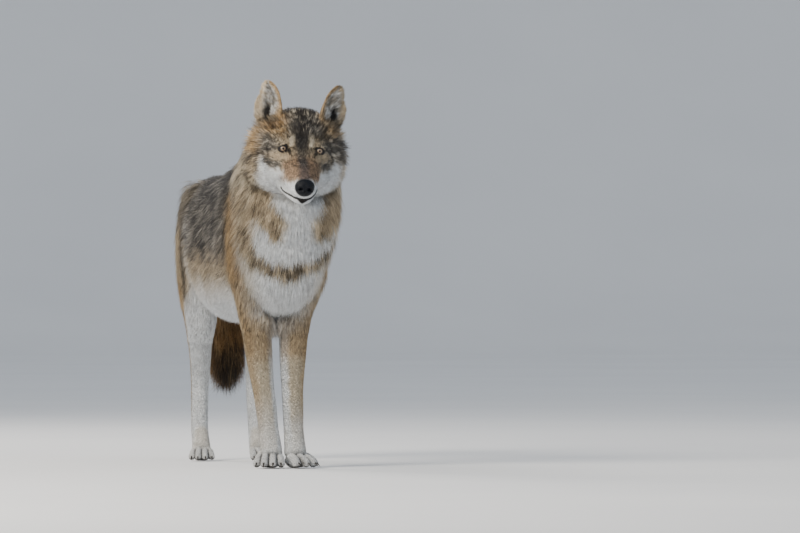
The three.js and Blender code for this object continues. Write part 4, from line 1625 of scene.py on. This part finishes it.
    def colours(self, tufts: dict[str, Array], paint: Paint) -> tuple[Array, Array, Array]:
        """Colours at root, middle and tip: shaded at the root, lightest in the middle, and black-tipped
        where the tuft's dice fall under the share of dark hairs."""
        dark = smoothstep(0.0, 0.16, paint.dark - tufts["dice"] * 0.94)[:, None]
        base = paint.base * tufts["tone"][:, None]
        black = Shade.BLACK.light()
        root = base * (0.78 - 0.35 * np.clip(paint.dark, 0.0, 0.8))[:, None]
        middle = base * 1.02 + (black * 1.6 - base * 1.02) * dark * 0.7
        tip = base * 1.12 + (black - base * 1.12) * dark * 0.94
        return root, middle, tip

    def long_tufts(self, t: dict[str, Array], paint: Paint) -> Tufts:
        """Bent tufts: a point under the skin, a triangle at the bend, and a point at the tip.

        Returns:
            Points, triangles, colours, and each point's place in its patch, from -1 to 1.
        """
        half = t["width"][:, None] / 2
        wide, up = t["wide"] * half, t["up"] * half * 0.6
        root, middle, tip = self.colours(t, paint)
        ring = [t["root"], t["middle"] - wide, t["middle"] + wide, t["middle"] + up, t["tip"]]
        place = np.array([[0, -1], [-1, 0], [1, 0], [0, 0.1], [0, 1]], dtype=float)
        pattern = np.array([[0, 2, 1], [0, 3, 2], [0, 1, 3], [1, 2, 4], [2, 3, 4], [3, 1, 4]])
        return np.stack(ring, axis=1), pattern, np.stack([root, middle, middle, middle, tip], axis=1), place

    def short_tufts(self, t: dict[str, Array], paint: Paint) -> Tufts:
        """Straight tufts: a triangle at the root and a point at the tip.

        Returns:
            Points, triangles, colours, and each point's place in its patch, from -1 to 1.
        """
        half = t["width"][:, None] / 2
        wide, up = t["wide"] * half, t["up"] * half * 0.8
        root, middle, tip = self.colours(t, paint)
        base = (root + middle) / 2
        points = np.stack([t["root"] - wide, t["root"] + wide, t["root"] + up, t["tip"]], axis=1)
        colours = np.stack([base, base, base, tip], axis=1)
        place = np.array([[-1, -1], [1, -1], [0, -0.6], [0, 1]], dtype=float)
        pattern = np.array([[0, 2, 1], [0, 1, 3], [1, 2, 3], [2, 0, 3]])
        return points, pattern, colours, place

    def unwrap(self, patch: Patch, owner: Array, places: list[Whereabouts]) -> Array:
        """Each root's place on a flat map of the skin: the angle round its limb across, and the way along
        the limb up, each limb in a strip of its own."""
        names = [limb.name for limb, _ in PELTS]
        spot_on_map = np.zeros((len(owner), 2))
        for strip, name in enumerate(patch.limbs):
            number = names.index(name)
            mine = owner == number
            round_share = (places[number].angle[mine] / (2 * math.pi)) % 1.0
            spot_on_map[mine, 0] = (strip + 0.02 + 0.96 * round_share) / len(patch.limbs)
            spot_on_map[mine, 1] = 0.01 + 0.98 * places[number].share[mine]
        return spot_on_map

    def assemble(self, patch: Patch, groups: list[Tufts], maps: list[Array]) -> bpy.types.Mesh:
        """One mesh from groups of like tufts, with its paint and its map."""
        points, corners, colours, uvs = [], [], [], []
        offset = 0
        for (spots, pattern, colour, place), centre in zip(groups, maps):
            count, each = spots.shape[:2]
            points.append(spots.reshape(-1, 3))
            colours.append(colour.reshape(-1, 3))
            faces = (np.arange(count) * each)[:, None, None] + pattern[None] + offset
            corners.append(faces.reshape(-1))
            uv = centre[:, None, :] + place[None] * (self.patch_size / 2)
            uvs.append(uv[:, pattern.ravel()].reshape(-1, 2))
            offset += count * each
        corner_list = np.concatenate(corners)
        joined = np.concatenate(points)
        joined[:, 2] = np.maximum(joined[:, 2], self.floor_gap)
        mesh = make_mesh(patch.name, joined, corner_list, np.full(len(corner_list) // 3, 3))
        paint_mesh(mesh, np.concatenate(colours))
        layer = mesh.uv_layers.new(name="OFBake")
        layer.data.foreach_set("uv", np.concatenate(uvs).astype(np.float32).ravel())
        return mesh

    def build(self) -> list[bpy.types.Object]:
        """Grows every piece of the coat."""
        roots, upward = self.sow()
        keep = ~self.bare(roots)
        roots, upward = roots[keep], upward[keep]
        coat, owner, places = survey(roots)
        flat_lie = unit(coat.lie - upward * (coat.lie * upward).sum(1)[:, None])
        coat.paint = survey(roots + flat_lie * (0.45 * coat.length)[:, None])[0].paint
        tufts = self.shape(roots, upward, coat, 1)
        side = body_mm(roots)[:, 0]
        names = [limb.name for limb, _ in PELTS]
        material = FUR.make()
        long = coat.length >= self.long_from
        made = []
        for patch in PATCHES:
            mine = np.isin(owner, [names.index(name) for name in patch.limbs])
            if patch.half:
                mine &= (side * patch.half > 0) | ((side == 0) & (patch.half > 0))
            groups, maps = [], []
            flat = self.unwrap(patch, owner, places)
            for chosen, grow in ((mine & long, self.long_tufts), (mine & ~long, self.short_tufts)):
                picked = {key: value[chosen] for key, value in tufts.items()}
                groups.append(grow(picked, Paint(coat.paint.base[chosen], coat.paint.dark[chosen])))
                maps.append(flat[chosen])
            mesh = self.assemble(patch, groups, maps)
            made.append(finish_piece(add_object(mesh, material), patch.slot))
        log.info("coat: %d triangles", sum(len(piece.data.polygons) for piece in made))
        return made


# ---- Eyes, lids, nose, lips and claws ----------------------------------------------------------
# The rings of a lid, from the slit outwards and back beneath: size against the slit, height over the ball.
LID_RINGS = (
    (1.0, 0.3),
    (1.02, 0.9),
    (1.1, 1.5),
    (1.3, 1.8),
    (1.55, 1.2),
    (1.62, 0.2),
    (1.5, -0.4),
    (1.2, -0.4),
    (1.03, -0.2),
)


@dataclass(frozen=True)
class Eye:
    """One eyeball and its lids."""

    sign: int
    radius: float = EYE_RADIUS
    gaze: tuple[float, float] = (2.0, 19.0)  # degrees that the pupil looks outwards and up
    aim: tuple[float, float] = (7.0, 13.0)  # the same for the slit between the lids
    opening: tuple[float, float] = (8.6, 6.1)  # half-width and half-height of the slit
    tilt: float = 14.0  # degrees that the outer corner is raised

    def centre(self) -> Array:
        """The ball's middle in the head."""
        return np.array([self.sign * EYE_OUT, EYE_BACK, EYE_UP])

    def axes(self, look: tuple[float, float]) -> Array:
        """Rows: sideways, up and forward of a look turned outwards and up, in the head."""
        forward = turn("z", look[0] * self.sign) @ turn("x", -look[1]) @ np.array([0.0, -1.0, 0.0])
        side = unit(np.cross(forward, np.array([0.0, 0.0, 1.0])))
        return np.stack([side, np.cross(side, forward), forward])

    def lean(self) -> Array:
        """The turn that raises the outer corner."""
        a = math.radians(self.tilt) * self.sign
        return np.array([[math.cos(a), -math.sin(a)], [math.sin(a), math.cos(a)]])

    def slit(self, away: Array) -> tuple[Array, Array]:
        """How far points lie from the middle of the slit, in units of its size, and how far ahead."""
        seen = away @ self.axes(self.aim).T
        flat = seen[:, :2] * (self.radius / np.maximum(np.linalg.norm(seen, axis=1), 1e-6))[:, None]
        flat = flat @ self.lean() / np.array(self.opening)
        return np.where(seen[:, 2] > 0, np.linalg.norm(flat, axis=1), 9.0), seen[:, 2]

    def ball(self) -> bpy.types.Object:
        """A sphere round the line of sight, raised a little over the iris as a cornea is.

        The point at angle a from the pupil and b round it lies at radius * (sin a cos b, sin a sin b, cos a).
        """
        rows, around = 40, 48
        a, b = polar_angles(rows, around, 0.004)
        r = self.radius * (1.0 + 0.04 * fall(0.25, 0.75, a))
        out = r * np.sin(a)
        grid = np.broadcast_arrays(out * np.cos(b), out * np.sin(b), r * np.cos(a))
        local = np.stack(grid, axis=-1).reshape(-1, 3) @ self.axes(self.gaze) + self.centre()
        points, corners, counts = closed_tube(HEAD.points(local), rows, around)
        mesh = make_mesh(f"eyeball_{SIDE_NAMES[self.sign]}", points, corners, counts)
        layer = mesh.uv_layers.new(name="EyeMap")
        where = np.column_stack([(corners % around) / around, (corners // around) / (rows - 1)])
        layer.data.foreach_set("uv", where.astype(np.float32).ravel())
        face_outwards(mesh)
        return finish_piece(add_object(mesh, EyeFinish().make()), "eye", f"eye_{SIDE_NAMES[self.sign]}")

    def lids(self) -> bpy.types.Object:
        """A dark ring that hugs the eyeball and leaves an almond slit.

        The slit's edge at angle b is (width cos b, height sin b), pinched at both corners. From there the
        ring runs outwards over the ball and under the skin, and back beneath itself, so it is closed.
        """
        around = 72
        b = ring_angles(around)
        almond = np.stack([np.cos(b), np.sin(b) * (1.0 - 0.3 * np.abs(np.cos(b)) ** 3)], axis=1)
        rings = []
        for size, raised in LID_RINGS:
            flat = almond * np.array(self.opening) * size @ self.lean().T
            depth = np.sqrt(np.maximum(self.radius**2 - (flat**2).sum(1), 4.0))
            ring = np.column_stack([flat, depth])
            rings.append(ring * ((self.radius + raised) / np.linalg.norm(ring, axis=1))[:, None])
        local = np.concatenate(rings) @ self.axes(self.aim) + self.centre()
        row, col = np.meshgrid(np.arange(len(rings)), np.arange(around), indexing="ij")
        below, beside = ((row + 1) % len(rings)) * around, (col + 1) % around
        faces = np.stack([row * around + col, row * around + beside, below + beside, below + col], axis=-1)
        mesh = make_mesh(f"eyelids_{SIDE_NAMES[self.sign]}", HEAD.points(local), *quads(faces.reshape(-1, 4)))
        face_outwards(mesh)
        return finish_piece(add_object(mesh, LID_SKIN.make()), "nose_leather")


def face_outwards(mesh: bpy.types.Mesh) -> None:
    """Flips a closed mesh if it holds a negative volume, a sum of corner products over its faces."""
    tris = read_triangles(mesh)
    points = read_points(mesh)
    points -= points.mean(0)
    a, b, c = (points[tris[:, k]] for k in range(3))
    if float((a * np.cross(b, c)).sum()) < 0:
        mesh.flip_normals()


@dataclass(frozen=True)
class Nose:
    """The bare nose pad with its two nostrils."""

    middle: Triple = (0.0, -136.0, -48.0)
    radii: Triple = (23.5, 14.5, 21.5)

    def build(self) -> bpy.types.Object:
        """An egg whose front is flattened and cut by two comma-shaped nostrils and a groove.

        The depth of a nostril is a bell curve round its middle, with a second, slanted bell for its slit.
        """
        rows, around = 72, 96
        a, b = polar_angles(rows, around, 0.01)
        x = np.sin(a) * np.cos(b)
        z = np.sin(a) * np.sin(b)
        y = -np.cos(a) * np.ones_like(b)
        w, d, h = self.radii
        px = w * np.sign(x) * np.abs(x) ** 0.92 * (1.0 + 0.10 * np.clip(z, -1, 1))
        pz = h * np.sign(z) * np.abs(z) ** 0.95
        py = d * y
        front = smoothstep(0.0, 0.6, -y)
        side = np.abs(px)
        hole = np.exp(-(((side - 9.0) / 3.6) ** 2) - (((pz + 0.5) / 3.8) ** 2))
        slit = np.exp(-(((side - 14.5) / 4.2) ** 2) - (((pz + 3.2 + 0.3 * (side - 14.0)) / 1.9) ** 2))
        groove = np.exp(-((px / 1.1) ** 2)) * smoothstep(4.0, -4.0, pz)
        top = np.exp(-(((side - 8.0) / 7.0) ** 2) - (((pz - 8.0) / 6.0) ** 2))
        py = py + front * (7.5 * hole + 4.0 * slit + 1.8 * groove - 1.5 * top)
        local = np.stack([px, py, pz], axis=-1).reshape(-1, 3) + np.array(self.middle)
        points, corners, counts = closed_tube(HEAD.points(local), rows, around)
        mesh = make_mesh("nose_pad", points, corners, counts)
        face_outwards(mesh)
        return finish_piece(add_object(mesh, NOSE_LEATHER.make()), "nose_leather", "nose")


@dataclass(frozen=True)
class Lips:
    """The dark edge of the shut mouth, from one corner round under the nose to the other, and the dark
    front of the lower lip."""

    skin: Array  # points of the skin, which the edge is laid onto
    path: tuple[Triple, ...] = (
        (46.5, -30, -85),
        (44.5, -42, -89),
        (40, -62, -88),
        (34, -86, -84.5),
        (26, -108, -82),
        (13, -123, -81),
        (0, -127, -81),
    )
    width: float = 1.2
    lower: Triple = (19.0, 9.5, 15.0)

    def edge(self) -> Shape:
        """A tube along the path and its mirror image, thickest at the corners and below the nose."""
        half = np.array(self.path, dtype=float)
        line = np.vstack([half, (half * np.array([-1.0, 1.0, 1.0]))[-2::-1]])
        rings, around = 120, 12
        at = np.linspace(0.0, 1.0, rings)
        middle, forward = spline(line, knot_gaps(line), at)
        near = HEAD.back(self.skin)
        near = near[(near[:, 1] < 0.0) & (near[:, 2] < -60.0)]
        hub = np.column_stack([0 * at, np.maximum(middle[:, 1], -70.0), middle[:, 2]])
        outward = unit(middle - hub)
        away = near[None, :, :] - hub[:, None, :]
        reach = (away * outward[:, None, :]).sum(2)
        beside = (away**2).sum(2) - reach**2
        reach = np.where((beside < 16.0) & (reach > 0.0), reach, 0.0).max(1)
        for _ in range(8):
            reach[1:-1] = (reach[:-2] + 2.0 * reach[1:-1] + reach[2:]) / 4.0
        middle = hub + outward * (reach - 0.1)[:, None]
        up = np.tile(np.array([0.0, 0.0, 1.0]), (rings, 1))
        out = unit(np.cross(unit(forward), up))
        b = ring_angles(around)
        ends = np.minimum(at, 1.0 - at)
        size = self.width * (1.0 + 1.0 * fall(0.0, 0.07, ends) + 0.2 * smoothstep(0.36, 0.5, ends))
        size *= np.sqrt(np.clip(ends * 40.0, 0.01, 1.0))
        grid = (
            middle[:, None, :]
            + out[:, None, :] * (size[:, None] * np.cos(b)[None, :])[:, :, None]
            + up[:, None, :] * (1.1 * size[:, None] * np.sin(b)[None, :])[:, :, None]
        )
        return closed_tube(HEAD.points(grid.reshape(-1, 3)), rings, around)

    def front(self) -> Shape:
        """A low mound with a pointed lower edge: an egg whose height falls off from the middle."""
        rows, around = 28, 40
        a, b = polar_angles(rows, around, 0.02)
        x = np.cos(a) * np.ones_like(b)
        y = -np.sin(a) * np.cos(b)
        z = np.sin(a) * np.sin(b)
        w, d, h = self.lower
        tall = np.where(z > 0, 3.0, h * (1.0 - 0.75 * np.abs(x)))
        local = np.stack([w * x, d * y - 110.0 + 5.0 * np.abs(x), tall * z - 82.0], axis=-1)
        return closed_tube(HEAD.points(local.reshape(-1, 3)), rows, around)

    def build(self) -> bpy.types.Object:
        """Makes both as one piece."""
        mesh = make_mesh("lip_edge", *join_shapes([self.edge(), self.front()]))
        face_outwards(mesh)
        return finish_piece(add_object(mesh, LIP_SKIN.make()), "nose_leather")


@dataclass(frozen=True)
class Claws:
    """The claws of one foot."""

    foot: str
    rows: int = 12
    around: int = 12
    floor_gap: float = 0.0006

    def build(self) -> bpy.types.Object:
        """Curved cones: each ring shrinks and sinks along the claw as the square of the way out."""
        place = foot_place(self.foot)
        share = np.linspace(0.0, 1.0, self.rows)
        b = ring_angles(self.around)
        shapes = []
        for x, reach in TOES:
            base = np.array([x * 1.12, -reach - TOE_RADIUS * 0.45, 15.0])
            drop = -9.5 * share**2 - 2.5 * share
            middle = base + np.column_stack([0.05 * x * share, -CLAW_LENGTH * share, drop])
            size = 3.4 * (1.0 - share) ** 0.75 + 0.25
            grid = middle[:, None, :] + np.stack(
                [
                    0.8 * size[:, None] * np.cos(b)[None, :],
                    0.5 * size[:, None] * np.sin(b)[None, :],
                    1.05 * size[:, None] * np.sin(b)[None, :],
                ],
                axis=-1,
            )
            shapes.append(closed_tube(place.points(grid.reshape(-1, 3)), self.rows, self.around))
        points, corners, counts = join_shapes(shapes)
        points[:, 2] = np.maximum(points[:, 2], self.floor_gap)
        mesh = make_mesh(f"claws_{self.foot}", points, corners, counts)
        face_outwards(mesh)
        return finish_piece(add_object(mesh, CLAW_HORN.make()), "nose_leather")


# ---- Studio ------------------------------------------------------------------------------------
@dataclass(frozen=True)
class Studio:
    """Floor, lights and camera."""

    azimuth: float = -12.0
    distance: float = 16.0
    height: float = 0.49
    lens: float = 293.6
    aside: float = 1.297  # degrees that the camera looks past the wolf's left side
    tilt: float = 0.016  # degrees that it looks down

    def floor(self) -> None:
        """A wide pale sheet that runs level and far behind bends up into a wall, as a quarter circle."""
        bend = np.linspace(0.0, math.pi / 2, 24)
        reach, radius = 19.0, 5.0
        along = np.concatenate([[-30.0], reach + radius * np.sin(bend), [reach + radius]])
        up = np.concatenate([[0.0], radius * (1.0 - np.cos(bend)), [14.0]])
        sides = np.array([-30.0, 30.0])
        grid = np.broadcast_arrays(sides[None, :], along[:, None], up[:, None])
        points = np.stack(grid, axis=-1).reshape(-1, 3)
        row = np.arange(len(along) - 1) * 2
        faces = np.stack([row, row + 1, row + 3, row + 2], axis=1)
        mesh = make_mesh("floor", points, *quads(faces))
        nodes = Nodes("pale_floor")
        nodes.set(Roughness=0.9, Specular_IOR_Level=0.1)
        tone = nodes.ramp(nodes.grain(0.8), ((0.35, (0.76, 0.76, 0.765)), (0.65, (0.79, 0.79, 0.79))))
        nodes.join(tone, nodes.shader.inputs["Base Color"])
        add_object(mesh, nodes.material)

    def lights(self) -> None:
        """A broad key from the wolf's right front, a fill, a rim and an even sky."""
        world = bpy.data.worlds.new("studio")
        world.use_nodes = True
        world.node_tree.nodes["Background"].inputs["Color"].default_value = (0.84, 0.91, 1.0, 1.0)
        world.node_tree.nodes["Background"].inputs["Strength"].default_value = 0.72
        bpy.context.scene.world = world
        for name, where, size, power, colour in (
            ("key", (-4.2, -3.0, 3.2), 2.2, 430.0, (1.0, 0.92, 0.8)),
            ("fill", (3.6, -4.4, 1.8), 3.0, 30.0, (0.88, 0.94, 1.0)),
            ("rim", (-1.8, 3.2, 3.0), 2.0, 130.0, (1.0, 0.93, 0.84)),
        ):
            lamp = bpy.data.lights.new(name, "AREA")
            lamp.size, lamp.energy, lamp.color = size, power, colour
            holder = bpy.data.objects.new(name, lamp)
            holder.location = where
            aim = np.array([0.0, -0.1, 0.5]) - np.array(where)
            around = math.atan2(aim[1], aim[0]) - math.pi / 2
            holder.rotation_euler = (math.atan2(math.hypot(aim[0], aim[1]), -aim[2]), 0.0, around)
            bpy.context.scene.collection.objects.link(holder)

    def camera(self) -> None:
        """A long lens at the height of the wolf's chest."""
        a = math.radians(self.azimuth)
        forward = np.array([-math.sin(a), math.cos(a)])
        spot_on_floor = -forward * self.distance + BODY_SHIFT[:2] * MM
        data = bpy.data.cameras.new("camera")
        data.sensor_width, data.lens = 36.0, self.lens
        data.clip_end = 200.0
        holder = bpy.data.objects.new("camera", data)
        holder.location = (*spot_on_floor, self.height)
        holder.rotation_euler = (math.radians(90.0 - self.tilt), 0.0, a - math.radians(self.aside))
        bpy.context.scene.collection.objects.link(holder)
        bpy.context.scene.camera = holder


def main() -> None:
    """Builds the wolf from the skin out."""
    logging.basicConfig(level=logging.INFO, format="%(name)s %(message)s")
    studio = Studio()
    studio.camera()
    studio.floor()
    studio.lights()
    skin = Skin()
    skin.build()
    for sign in SIDE_NAMES:
        eye = Eye(sign)
        eye.ball()
        eye.lids()
    Nose().build()
    Lips(skin.points).build()
    for foot in FEET:
        Claws(foot).build()
    Fur(skin, count_scale=1.0).build()


if __name__ == "__main__":
    main()
